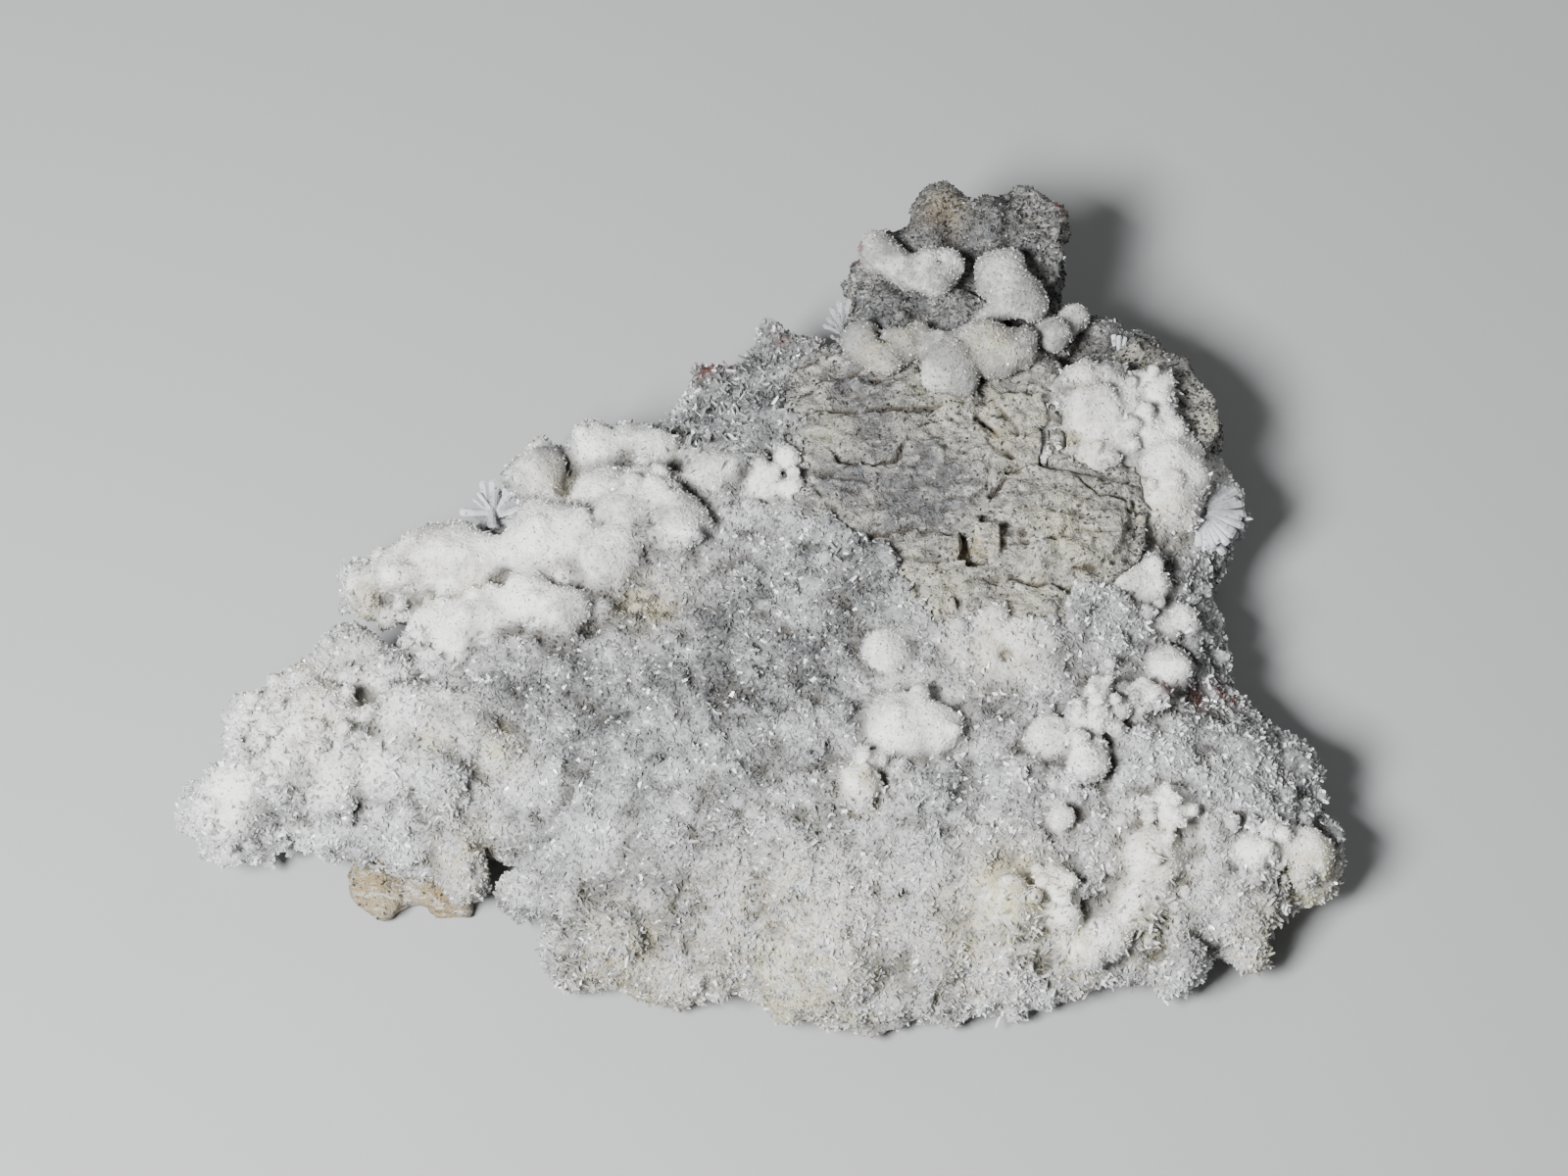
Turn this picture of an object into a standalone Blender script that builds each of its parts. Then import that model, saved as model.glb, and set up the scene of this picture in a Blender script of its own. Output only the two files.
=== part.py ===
"""Rauenthalite mineral specimen: a slab of layered rock under a crust of white crystals.

The slab lies on its broken underside. +X runs along it, +Y towards its rocky peak, and
+Z up out of the crust. Lengths are written in millimetres until a mesh becomes an object.
"""

import math
import random

import bmesh
import bpy
from mathutils import Matrix, Vector, geometry, noise

MM = 0.001
SEED = 7

# The slab's heights
RIM_FRONT = 5.6
RIM_RISE = 0.07
FRONT_Y = -34.0
CRUST_TOP = 12.8
SHOULDER = 14.0
RIM_DEPTH = 3.8
RIM_RADIUS = 1.8
RIM_SPACING = 2.6
LUMP_LIFT = 0.4
GAP = 0.3

# The beds of the rock: lowest and highest level, and how much the top rises along +Y
BASE_BED = (-0.6, 5.0, 0.05)
MIDDLE_BED = (3.0, 8.5, 0.02)
WINDOW_BED = (5.0, 12.5, 0.0)
PEAK_BED = (5.0, 13.6, 0.0)
SHOULDER_BED = (4.0, 10.6, 0.0)
LEDGE_BED = (-0.6, 2.4, 0.0)
FOOT_TAPER = 0.95

# Fineness of the solids
ROCK_VOXEL = 0.7
CRUST_VOXEL = 0.65
LUMP_VOXEL = 0.45
ROCK_FACES = 2350
CRUST_FACES = 3900
UPPER_LUMP_FACES = 560
LEFT_LUMP_FACES = 240
SHOULDER_LUMP_FACES = 120
SHEET_STEP = 3.0

# Unevenness of the surfaces: height, then wavelength
ROCK_ROUGHNESS = (0.35, 4.0)
CRUST_ROUGHNESS = (0.42, 4.6)

# Edge of the crust, from the foot of the peak round the left, the front and the right
CRUST_BACK_EDGE = [
    (4.5, 21.5), (1.5, 21.5), (0.0, 22.5), (-1.5, 20.0), (-3.5, 19.0), (-5.5, 19.5),
    (-7.0, 16.0), (-9.5, 14.0), (-11.5, 14.0), (-15.0, 13.0), (-15.5, 10.5), (-16.5, 11.5),
    (-19.0, 11.5), (-20.0, 9.0), (-21.5, 6.5), (-22.0, 4.5), (-26.0, 4.5), (-29.5, 3.0),
    (-32.5, 1.5),
]
CRUST_LEFT_EDGE = [
    (-33.0, 0.0), (-31.5, -1.0), (-28.5, -1.5), (-26.5, -0.5), (-27.5, -2.0), (-28.5, -3.5),
    (-29.5, -6.0), (-32.0, -4.5), (-34.5, -6.0), (-37.0, -8.5), (-40.5, -10.5), (-41.0, -14.0),
    (-42.0, -16.5), (-44.0, -17.0), (-43.5, -19.5),
]
CRUST_FRONT_EDGE = [
    (-43.0, -21.5), (-39.5, -21.0), (-36.0, -20.0), (-33.5, -21.5), (-30.0, -22.5),
    (-26.0, -22.5), (-21.5, -23.5), (-21.5, -21.5), (-19.0, -22.0), (-20.5, -23.0),
    (-18.0, -24.5), (-16.0, -26.5), (-16.0, -27.5), (-17.0, -29.5), (-16.0, -31.0),
    (-13.0, -31.5), (-9.5, -32.5), (-2.5, -32.5), (2.5, -34.5), (6.5, -35.0), (10.5, -33.5),
    (14.5, -34.0), (19.5, -33.0), (24.5, -31.5), (29.5, -30.0), (30.0, -31.5), (31.5, -32.0),
    (33.0, -31.0), (32.5, -29.5), (38.0, -29.5), (38.0, -27.5),
]
CRUST_RIGHT_EDGE = [
    (40.0, -25.0), (42.5, -24.5), (43.5, -22.5), (42.5, -20.0), (42.5, -17.5), (43.0, -15.0),
    (42.0, -13.0), (37.5, -10.0), (36.0, -8.5), (35.0, -3.5), (34.0, 0.5), (36.0, 4.0),
    (37.0, 7.0), (37.0, 9.0), (35.5, 11.5),
]
# Border between the crust and the bare rock of the window, back to the foot of the peak
CRUST_WINDOW_EDGE = [
    (33.0, 11.5), (31.5, 14.0), (29.0, 16.5), (25.0, 17.0), (22.0, 15.5), (21.5, 12.5),
    (22.0, 8.5), (24.5, 8.0), (28.0, 7.0), (28.5, 4.5), (28.0, 0.5), (24.5, -2.5),
    (21.5, -6.0), (13.0, -5.5), (11.5, -4.0), (9.0, 0.5), (5.0, 2.0), (2.5, 4.0),
    (2.5, 13.5), (3.0, 16.0), (4.0, 18.0),
]

# Plan shapes of the rock
BASE_PLAN = [
    (-38.5, -17.5), (-37.0, -19.0), (-33.5, -20.0), (-32.0, -21.5), (-22.0, -22.0),
    (-21.5, -20.5), (-18.5, -20.5), (-16.5, -23.5), (-14.5, -26.5), (-14.5, -29.0),
    (-10.0, -31.0), (-2.0, -31.5), (1.0, -33.5), (6.0, -34.0), (9.5, -32.5), (15.0, -31.5),
    (22.0, -30.0), (28.0, -28.5), (34.0, -27.5), (37.0, -25.0), (40.5, -22.0), (40.0, -16.5),
    (38.0, -12.5), (34.0, -9.0), (32.5, -4.0), (31.5, 1.0), (33.5, 5.0), (33.5, 14.5),
    (31.0, 19.0), (27.0, 21.0), (23.0, 23.0), (21.5, 25.0), (22.0, 31.0), (17.5, 31.5),
    (14.5, 33.0), (12.5, 30.0), (9.5, 28.0), (7.5, 24.5), (6.0, 20.5), (0.0, 19.5),
    (-5.0, 16.5), (-9.0, 12.0), (-15.0, 10.0), (-19.0, 5.5), (-22.0, 1.5), (-26.0, -3.5),
    (-29.0, -8.0), (-35.0, -11.0), (-38.0, -14.0),
]
MIDDLE_PLAN = [
    (-31.0, -15.5), (-27.0, -18.0), (-20.0, -17.0), (-13.0, -22.0), (-9.0, -26.0),
    (0.0, -28.0), (8.0, -28.5), (18.0, -26.5), (27.0, -24.5), (34.0, -22.0), (36.0, -17.5),
    (33.0, -12.5), (30.0, -8.0), (28.0, -2.0), (28.5, 6.0), (30.5, 12.0), (28.0, 17.0),
    (22.0, 20.0), (9.0, 20.0), (1.0, 16.5), (-6.0, 12.0), (-13.0, 7.5), (-18.0, 1.0),
    (-23.0, -6.0), (-30.0, -11.0),
]
WINDOW_PLAN = [
    (3.0, 17.0), (2.5, 13.5), (2.5, 4.0), (5.0, 2.0), (9.0, 0.5), (11.5, -4.0), (13.0, -5.5),
    (21.5, -6.0), (24.5, -2.5), (28.0, 0.5), (28.5, 4.5), (28.0, 7.5), (24.5, 8.5),
    (22.5, 9.5), (22.5, 17.0), (7.0, 19.5),
]
PEAK_PLAN = [
    (6.0, 17.0), (6.5, 26.0), (8.0, 28.5), (12.0, 31.0), (13.0, 33.0), (15.0, 34.0),
    (17.5, 32.5), (20.5, 33.5), (23.0, 31.5), (23.0, 25.5), (22.5, 23.5), (22.5, 15.5),
    (14.0, 15.0),
]
SHOULDER_PLAN = [
    (21.0, 15.5), (22.5, 22.5), (25.5, 23.5), (30.0, 21.5), (33.5, 18.5), (35.5, 14.5),
    (34.5, 10.5), (31.0, 10.0), (27.0, 12.0),
]
LEDGE_PLAN = [
    (-33.0, -21.5), (-31.5, -24.0), (-29.5, -24.5), (-27.5, -23.5), (-25.5, -24.0),
    (-23.0, -24.5), (-22.0, -22.0), (-24.0, -19.0), (-31.0, -19.0),
]

# Plates that the window's rock splits into: plan, then the level of the top
WINDOW_PLATES = [
    ([(6.5, 15.0), (7.5, 16.5), (11.0, 16.5), (15.5, 15.0), (16.5, 13.5), (15.5, 12.5),
      (12.0, 13.0), (8.0, 13.0)], 14.4),
    ([(3.0, 13.0), (7.0, 12.5), (14.5, 11.5), (12.0, 10.5), (10.0, 9.5), (7.5, 8.5),
      (6.0, 9.5), (3.5, 9.5)], 13.5),
    ([(6.5, 7.5), (10.5, 8.0), (13.0, 10.0), (16.5, 11.0), (17.5, 8.5), (17.0, 5.5),
      (15.5, 4.0), (13.0, 3.5), (7.5, 3.0), (4.5, 4.5)], 13.7),
    ([(18.5, 6.5), (21.0, 7.5), (24.5, 7.0), (27.5, 6.0), (27.5, 1.0), (25.0, -1.0),
      (20.5, -0.5), (19.5, 2.5), (18.0, 3.5)], 14.2),
    ([(9.5, 0.5), (14.0, 1.0), (14.5, -1.5), (14.0, -4.5), (12.0, -4.0)], 13.4),
    ([(16.0, -2.5), (21.5, -2.0), (23.5, -3.0), (22.0, -5.0), (17.0, -5.5)], 13.7),
    ([(18.0, 14.0), (21.5, 14.0), (21.5, 9.5), (20.0, 9.5)], 14.0),
    ([(16.5, 0.0), (18.5, 0.0), (18.5, 2.0), (16.5, 2.0)], 15.0),
]
PLATE_SINK = 3.0
# Hole through the crust beside the front edge: middle, then size along X, Y and Z
INLET = ((-20.3, -22.2, 6.0), (2.4, 1.8, 14.0))

# Holes in the window's rock: middle, then size along X, Y and Z
WINDOW_PITS = [
    ((15.4, 0.6, 13.0), (1.2, 2.6, 4.0)),
    ((16.6, -1.0, 13.0), (2.0, 1.0, 4.0)),
    ((17.9, 10.8, 14.0), (1.0, 3.8, 3.0)),
    ((15.2, -4.0, 13.4), (0.9, 2.2, 2.6)),
]

# Knobs of the rock: x, y, z of the middle, radius
PEAK_KNOBS = [
    (13.8, 32.2, 12.4, 2.4), (17.5, 29.8, 12.0, 3.4), (20.6, 32.4, 12.0, 1.8),
    (22.4, 30.4, 11.8, 1.8), (21.6, 27.4, 12.2, 2.0), (9.4, 28.4, 12.0, 2.0),
    (7.6, 25.0, 11.8, 1.8), (12.5, 28.5, 12.4, 2.6), (9.5, 21.5, 12.0, 3.0),
    (15.0, 21.5, 12.2, 3.0), (20.5, 17.5, 12.4, 2.2), (22.5, 20.5, 10.8, 2.4),
    (26.0, 21.5, 9.6, 2.2), (29.5, 19.5, 9.6, 2.2), (32.5, 17.0, 9.6, 2.0),
    (34.0, 13.6, 9.4, 2.0), (25.5, 18.5, 9.8, 2.2), (23.0, 8.8, 12.4, 1.4),
]

# White lumps of the crust: x, y, radius, and how far the top stands above the crust
FINGER_LUMPS = [
    (-31.5, 0.0, 1.5, 1.2), (-31.0, -1.5, 0.9, 0.2), (-29.0, 0.5, 2.0, 1.8),
    (-28.5, -1.5, 1.2, 0.6), (-27.0, 1.5, 2.4, 2.3), (-25.0, 2.0, 2.6, 2.6),
    (-22.5, 0.5, 2.6, 2.4), (-23.5, -1.0, 2.0, 1.8), (-26.5, 0.0, 1.9, 1.6),
]
RIDGE_LUMPS = [
    (-17.5, 1.5, 3.2, 3.1), (-18.0, 4.0, 2.2, 1.8), (-18.0, 8.5, 2.4, 2.4),
    (-18.0, 10.5, 1.8, 1.2), (-13.5, 7.0, 2.4, 2.0), (-13.5, 11.0, 1.9, 1.4),
    (-11.0, 12.0, 1.4, 1.0), (-11.5, 4.0, 2.3, 1.8), (-9.5, 6.0, 2.2, 1.6),
    (-7.0, 3.0, 2.3, 1.8), (-15.5, 2.0, 2.3, 2.2), (-12.5, 0.0, 2.3, 1.6),
    (-18.5, -3.0, 2.3, 1.8), (-16.0, -4.5, 2.3, 1.4), (-25.0, -5.0, 2.9, 2.0),
    (-21.5, -3.5, 2.4, 1.6), (-4.5, 8.5, 2.2, 1.0), (-8.5, 10.5, 2.0, 1.0),
]
WING_LUMPS = [
    (-32.0, -6.0, 2.0, 1.4), (-33.5, -7.5, 2.0, 1.6), (-35.5, -9.5, 2.2, 1.8),
    (-37.0, -10.5, 2.1, 1.6), (-39.5, -11.5, 1.8, 1.4), (-40.0, -13.5, 1.6, 1.4),
    (-37.0, -14.0, 2.4, 2.2), (-34.0, -13.5, 3.1, 2.2), (-32.5, -15.5, 2.7, 1.8),
    (-33.0, -17.5, 2.3, 1.4), (-36.5, -17.0, 2.2, 1.8), (-40.0, -17.5, 2.2, 2.0),
    (-42.0, -18.5, 1.8, 1.2), (-40.5, -20.0, 2.0, 1.6), (-27.0, -12.5, 2.8, 1.6),
    (-23.0, -13.5, 2.5, 1.2), (-29.5, -9.0, 2.4, 1.2), (-20.5, -15.5, 1.5, 0.9),
    (-29.0, -16.5, 2.2, 0.9), (-25.0, -17.5, 2.0, 0.8),
]
RIGHT_LUMPS = [
    (25.5, 13.5, 2.0, 1.9), (25.5, 12.0, 2.0, 1.7), (24.5, 16.5, 1.2, 1.0),
    (27.0, 16.5, 0.9, 0.8), (31.0, 16.0, 1.1, 1.6), (29.5, 16.0, 0.9, 1.2),
    (28.5, 14.5, 0.9, 1.2), (28.0, 13.0, 0.9, 1.2), (30.5, 14.5, 0.9, 1.4),
    (27.5, 10.0, 1.4, 1.2), (25.5, 9.5, 1.5, 1.0), (30.0, 11.5, 1.9, 1.8),
    (31.0, 8.5, 2.2, 2.2), (31.0, 6.0, 1.9, 1.8), (33.5, 7.5, 2.0, 2.0),
    (32.5, 10.5, 1.6, 1.4), (29.5, -1.5, 1.7, 1.2), (31.5, -4.0, 1.7, 1.2),
    (28.0, -1.0, 1.4, 1.0), (30.5, -8.5, 1.8, 0.9),
]
FIELD_LUMPS = [
    (25.0, -11.5, 1.4, 1.4), (24.5, -14.0, 1.7, 1.9), (26.5, -13.0, 1.2, 1.4),
    (28.5, -11.5, 1.2, 1.4), (21.0, -15.5, 1.9, 1.3), (24.0, -17.5, 1.6, 1.9),
    (19.0, -18.5, 2.2, 0.8), (22.0, -22.0, 1.2, 1.2), (9.0, -8.0, 1.9, 0.9),
    (10.5, -14.0, 3.6, 1.3), (12.5, -14.5, 2.2, 1.1), (8.0, -17.5, 1.0, 1.0),
    (7.0, -19.5, 1.6, 1.7), (1.5, 8.5, 1.0, 1.4), (0.0, 6.5, 1.6, 0.9), (2.0, 6.0, 1.2, 1.2),
]
LOWER_LUMPS = [
    (30.5, -21.0, 1.6, 1.6), (29.0, -24.0, 2.2, 1.4), (28.0, -27.0, 2.2, 1.2),
    (21.5, -26.5, 1.6, 2.0), (22.0, -28.5, 1.3, 1.6), (18.0, -28.0, 2.6, 2.3),
    (23.5, -30.0, 1.9, 1.2), (25.5, -29.0, 1.9, 1.0), (36.5, -23.5, 1.5, 1.6),
    (38.5, -23.0, 1.1, 1.2), (41.0, -23.0, 1.8, 1.4), (31.5, -30.5, 1.4, 0.4),
    (13.0, -31.0, 2.2, 0.8), (6.0, -32.0, 2.4, 0.8), (-3.0, -29.5, 2.4, 0.7),
    (-11.0, -28.5, 2.4, 0.8), (-8.0, -24.0, 2.6, 0.6), (2.0, -24.0, 2.8, 0.6),
    (12.0, -24.5, 2.6, 0.6), (-14.0, -21.0, 2.4, 0.6), (36.0, -15.0, 2.4, 0.7),
]

# Balls of the clusters that sit on the bare rock of the peak: x, y, z of the middle, radius
LEFT_BALLS = [
    (9.0, 26.5, 15.0, 1.4), (8.7, 25.0, 15.0, 1.1), (10.2, 24.9, 15.2, 1.1),
    (11.2, 24.0, 15.2, 1.1), (12.4, 25.8, 15.4, 1.2), (14.0, 25.6, 15.4, 1.4),
    (13.2, 23.6, 15.4, 1.5), (12.0, 24.3, 15.0, 1.2),
]
UPPER_BALLS = [
    (18.0, 25.0, 15.3, 1.7), (17.2, 23.2, 15.2, 1.3), (19.4, 23.6, 15.6, 1.9),
    (19.6, 25.4, 15.0, 1.3), (20.6, 22.4, 15.2, 1.4), (19.4, 21.2, 15.4, 1.1),
    (18.0, 20.4, 15.2, 1.1), (17.2, 19.4, 15.2, 1.2), (7.2, 18.0, 15.2, 1.7),
    (8.6, 16.6, 15.2, 1.5), (10.4, 16.8, 15.4, 1.7), (12.2, 18.2, 15.4, 1.4),
    (14.4, 16.6, 15.6, 2.4), (14.2, 14.8, 15.6, 1.6), (17.4, 17.2, 15.8, 2.2),
    (16.2, 15.2, 15.4, 1.7), (19.2, 18.2, 15.4, 1.7),
]
SHOULDER_BALLS = [
    (22.6, 18.5, 13.6, 1.6), (24.0, 20.4, 12.6, 1.3), (23.2, 19.6, 13.0, 1.2),
]

# Flat-faced blades: root, then tip, then width
FAN_BLADES = [
    ((33.0, 7.0, 9.6), (37.3, 7.6, 9.2), 1.1), ((33.0, 6.6, 9.6), (37.2, 6.2, 8.8), 1.1),
    ((33.0, 6.2, 9.4), (36.6, 4.8, 8.6), 1.1), ((33.0, 5.8, 9.2), (36.0, 3.6, 8.4), 1.1),
    ((32.8, 5.6, 9.0), (35.2, 2.4, 8.2), 1.1), ((32.6, 5.2, 9.0), (34.4, 1.6, 8.0), 1.0),
]
EDGE_BLADES = [
    ((-20.6, 4.6, 8.6), (-24.6, 6.4, 9.2), 0.9), ((-20.6, 4.8, 8.6), (-23.6, 7.4, 9.4), 0.8),
    ((-20.4, 5.0, 8.8), (-22.4, 8.2, 9.6), 0.9), ((-20.6, 4.4, 8.4), (-24.2, 4.6, 8.6), 0.8),
    ((-20.2, 5.2, 8.8), (-21.0, 8.4, 9.8), 0.8),
]
CLEAR_BLADES = [
    ((5.4, 21.4, 12.4), (4.6, 23.0, 13.9), 0.8), ((5.6, 21.8, 12.4), (5.6, 24.0, 14.3), 0.8),
    ((5.4, 21.0, 12.2), (3.9, 21.4, 13.5), 0.7), ((5.6, 20.6, 12.2), (4.8, 19.4, 13.5), 0.7),
]
CLEAR_ROOT = (5.7, 21.3, 12.3, 1.1)
BLADE_FLATNESS = 0.45
BLADE_SHOULDER = 0.75
BLADE_BATCHES = 3
SPRAYS = 14
SPRAY_SPACING = 7.0
SPRAY_LENGTH = (2.4, 3.4)
SPRAY_WIDTH = (0.9, 1.3)
SPRAY_SINK = 1.0
SPRAY_LEAN = 0.7


def clear_scene():
    for thing in list(bpy.data.objects):
        bpy.data.objects.remove(thing, do_unlink=True)


def finish_material(name, colour, roughness):
    material = bpy.data.materials.new(name)
    material.use_nodes = True
    shader = material.node_tree.nodes["Principled BSDF"]
    shader.inputs["Base Color"].default_value = (*colour, 1.0)
    shader.inputs["Roughness"].default_value = roughness
    shader.inputs["Metallic"].default_value = 0.0
    return material


def to_object(shape, name):
    """Turns a shape in millimetres into an object in metres."""
    bmesh.ops.recalc_face_normals(shape, faces=shape.faces)
    bmesh.ops.scale(shape, vec=(MM, MM, MM), verts=shape.verts)
    mesh = bpy.data.meshes.new(name)
    shape.to_mesh(mesh)
    shape.free()
    thing = bpy.data.objects.new(name, mesh)
    bpy.context.scene.collection.objects.link(thing)
    return thing


def make_helper(thing):
    thing.hide_render = True
    thing.display_type = "WIRE"


def apply_modifiers(thing):
    graph = bpy.context.evaluated_depsgraph_get()
    graph.update()
    made = bpy.data.meshes.new_from_object(thing.evaluated_get(graph))
    thing.modifiers.clear()
    thing.data = made


def remesh(thing, voxel):
    modifier = thing.modifiers.new("grown_together", "REMESH")
    modifier.mode = "VOXEL"
    modifier.voxel_size = voxel * MM
    apply_modifiers(thing)


def thin_out(thing, faces):
    """Brings the mesh down to about this many triangles."""
    thing.data.calc_loop_triangles()
    modifier = thing.modifiers.new("thin_out", "DECIMATE")
    modifier.ratio = min(1.0, faces / len(thing.data.loop_triangles))
    apply_modifiers(thing)


def roughen(thing, height, length):
    """Moves the surface in and out by a smooth noise of this height and wavelength."""
    shape = bmesh.new()
    shape.from_mesh(thing.data)
    shape.normal_update()
    for point in shape.verts:
        lift = noise.noise(point.co / (length * MM)) + 0.5 * noise.noise(point.co / (length * MM / 2))
        point.co += point.normal * lift * height * MM
    shape.to_mesh(thing.data)
    shape.free()


def combine(thing, other, operation):
    modifier = thing.modifiers.new(operation.lower(), "BOOLEAN")
    modifier.operation = operation
    modifier.solver = "MANIFOLD"
    modifier.object = other
    apply_modifiers(thing)


def keep_largest_body(thing):
    """Drops crumbs that a cut leaves loose."""
    shape = bmesh.new()
    shape.from_mesh(thing.data)
    left = set(shape.verts)
    bodies = []
    while left:
        stack = [left.pop()]
        body = set(stack)
        while stack:
            for edge in stack.pop().link_edges:
                for point in edge.verts:
                    if point in left:
                        left.remove(point)
                        body.add(point)
                        stack.append(point)
        bodies.append(body)
    bodies.sort(key=len)
    for body in bodies[:-1]:
        bmesh.ops.delete(shape, geom=list(body), context="VERTS")
    shape.to_mesh(thing.data)
    shape.free()


def stand_flat(thing):
    """Cuts the underside off at the level of the ground, as one flat face to rest on."""
    shape = bmesh.new()
    shape.from_mesh(thing.data)
    cut = bmesh.ops.bisect_plane(
        shape, geom=list(shape.verts) + list(shape.edges) + list(shape.faces),
        plane_co=(0, 0, 0), plane_no=(0, 0, 1), clear_inner=True,
    )
    edges = [item for item in cut["geom_cut"] if isinstance(item, bmesh.types.BMEdge)]
    bmesh.ops.triangle_fill(shape, use_beauty=True, edges=edges)
    bmesh.ops.recalc_face_normals(shape, faces=shape.faces)
    shape.to_mesh(thing.data)
    shape.free()


def edge_distance(x, y, outline):
    """Distance in plan from a point to the nearest side of an outline."""
    here = Vector((x, y))
    nearest = math.inf
    for first, last in zip(outline, outline[1:]):
        on_side, share = geometry.intersect_point_line(here, Vector(first), Vector(last))
        if share < 0.0:
            on_side = Vector(first)
        elif share > 1.0:
            on_side = Vector(last)
        nearest = min(nearest, (here - on_side.xy).length)
    return nearest


OUTER_EDGE = CRUST_BACK_EDGE + CRUST_LEFT_EDGE + CRUST_FRONT_EDGE + CRUST_RIGHT_EDGE


def rim_level(y):
    """Height of the crust along its outer edge, which rises towards the back."""
    return RIM_FRONT + RIM_RISE * (y - FRONT_Y)


def crust_level(x, y):
    """Height of the crust: low at the rim, level inside it."""
    share = min(1.0, edge_distance(x, y, OUTER_EDGE) / SHOULDER)
    rise = 1.0 - (1.0 - share) ** 2
    rim = rim_level(y)
    return rim + (CRUST_TOP - rim) * rise


def add_ball(shape, x, y, z, radius):
    bmesh.ops.create_icosphere(
        shape, subdivisions=2, radius=radius, matrix=Matrix.Translation((x, y, z))
    )


def add_bed(shape, plan, low, high, rise, taper=1.0):
    """A bed of rock over a plan: its top rises along +Y, and its foot may be drawn in."""
    middle = sum((Vector(point) for point in plan), Vector((0.0, 0.0))) / len(plan)
    top = [shape.verts.new((x, y, high + rise * (y - FRONT_Y))) for x, y in plan]
    foot = []
    for x, y in plan:
        drawn = middle + (Vector((x, y)) - middle) * taper
        foot.append(shape.verts.new((drawn.x, drawn.y, low)))
    shape.faces.new(top)
    shape.faces.new(list(reversed(foot)))
    for here in range(len(plan)):
        after = (here + 1) % len(plan)
        shape.faces.new((foot[here], foot[after], top[after], top[here]))


def add_block(shape, middle, size):
    made = bmesh.ops.create_cube(shape, size=1.0)
    bmesh.ops.scale(shape, vec=size, verts=made["verts"])
    bmesh.ops.translate(shape, vec=middle, verts=made["verts"])


def add_blade(shape, root, tip, width):
    """A flat crystal blade with a chisel point."""
    root = Vector(root)
    tip = Vector(tip)
    along = (tip - root).normalized()
    side = along.cross(Vector((0, 0, 1))).normalized() * width / 2
    face = side.cross(along).normalized() * width * BLADE_FLATNESS / 2
    shoulder = root.lerp(tip, BLADE_SHOULDER)
    corners = [side + face, side - face, -side - face, -side + face]
    low = [shape.verts.new(root + corner) for corner in corners]
    high = [shape.verts.new(shoulder + corner) for corner in corners]
    ends = [shape.verts.new(tip + face * 0.3), shape.verts.new(tip - face * 0.3)]
    shape.faces.new(list(reversed(low)))
    for here in range(4):
        after = (here + 1) % 4
        shape.faces.new((low[here], low[after], high[after], high[here]))
    shape.faces.new((high[0], high[1], ends[1], ends[0]))
    shape.faces.new((high[2], high[3], ends[0], ends[1]))
    shape.faces.new((high[1], high[2], ends[1]))
    shape.faces.new((high[3], high[0], ends[0]))


def add_sheet(shape, outline):
    """The crust without its lumps: a sheet over the plan that follows the crust's height."""
    count = len(outline)
    points = [Vector(point) for point in outline]
    ring = list(range(count))
    steps_x = range(math.floor(-45 / SHEET_STEP), math.ceil(45 / SHEET_STEP))
    steps_y = range(math.floor(-36 / SHEET_STEP), math.ceil(36 / SHEET_STEP))
    for step_x in steps_x:
        for step_y in steps_y:
            points.append(Vector((step_x * SHEET_STEP, step_y * SHEET_STEP)))
    plan, _, faces, _, _, _ = geometry.delaunay_2d_cdt(points, [], [ring], 1, 1e-5)
    used = sorted({corner for face in faces for corner in face})
    top = {}
    foot = {}
    for corner in used:
        x, y = plan[corner]
        top[corner] = shape.verts.new((x, y, crust_level(x, y)))
        foot[corner] = shape.verts.new((x, y, rim_level(y) - RIM_DEPTH))
    sides = {}
    for face in faces:
        shape.faces.new([top[corner] for corner in face])
        shape.faces.new([foot[corner] for corner in reversed(face)])
        for first, last in zip(face, face[1:] + face[:1]):
            if (last, first) in sides:
                del sides[last, first]
            else:
                sides[first, last] = True
    for first, last in sides:
        shape.faces.new((top[last], top[first], foot[first], foot[last]))


def rim_places(outline, inset, spacing):
    """Places at even steps just inside an outline."""
    places = []
    carried = 0.0
    for first, last in zip(outline, outline[1:]):
        start = Vector(first)
        run = Vector(last) - start
        inward = Vector((-run.y, run.x)).normalized() * inset
        while carried < run.length:
            places.append(start + run.normalized() * carried + inward)
            carried += spacing
        carried -= run.length
    return places


def add_lumps(shape, lumps):
    for x, y, radius, rise in lumps:
        add_ball(shape, x, y, crust_level(x, y) + rise + LUMP_LIFT - radius, radius)


def add_rim(shape, wander):
    """Knobs all along the outer edge, of uneven size."""
    for place in rim_places(OUTER_EDGE, RIM_RADIUS, RIM_SPACING):
        radius = RIM_RADIUS * wander.uniform(0.85, 1.15)
        add_ball(shape, place.x, place.y, rim_level(place.y) - RIM_RADIUS, radius)


def make_rock():
    shape = bmesh.new()
    add_bed(shape, BASE_PLAN, *BASE_BED, taper=FOOT_TAPER)
    add_bed(shape, LEDGE_PLAN, *LEDGE_BED)
    add_bed(shape, MIDDLE_PLAN, *MIDDLE_BED)
    add_bed(shape, WINDOW_PLAN, *WINDOW_BED)
    add_bed(shape, PEAK_PLAN, *PEAK_BED)
    add_bed(shape, SHOULDER_PLAN, *SHOULDER_BED)
    for plan, level in WINDOW_PLATES:
        add_bed(shape, plan, level - PLATE_SINK, level, 0.0)
    for x, y, z, radius in PEAK_KNOBS:
        add_ball(shape, x, y, z, radius)
    rock = to_object(shape, "rock_matrix")
    remesh(rock, ROCK_VOXEL)
    roughen(rock, *ROCK_ROUGHNESS)
    thin_out(rock, ROCK_FACES)
    cut_block(rock, "pit_cutter", WINDOW_PITS)
    stand_flat(rock)
    keep_largest_body(rock)
    return rock


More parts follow.
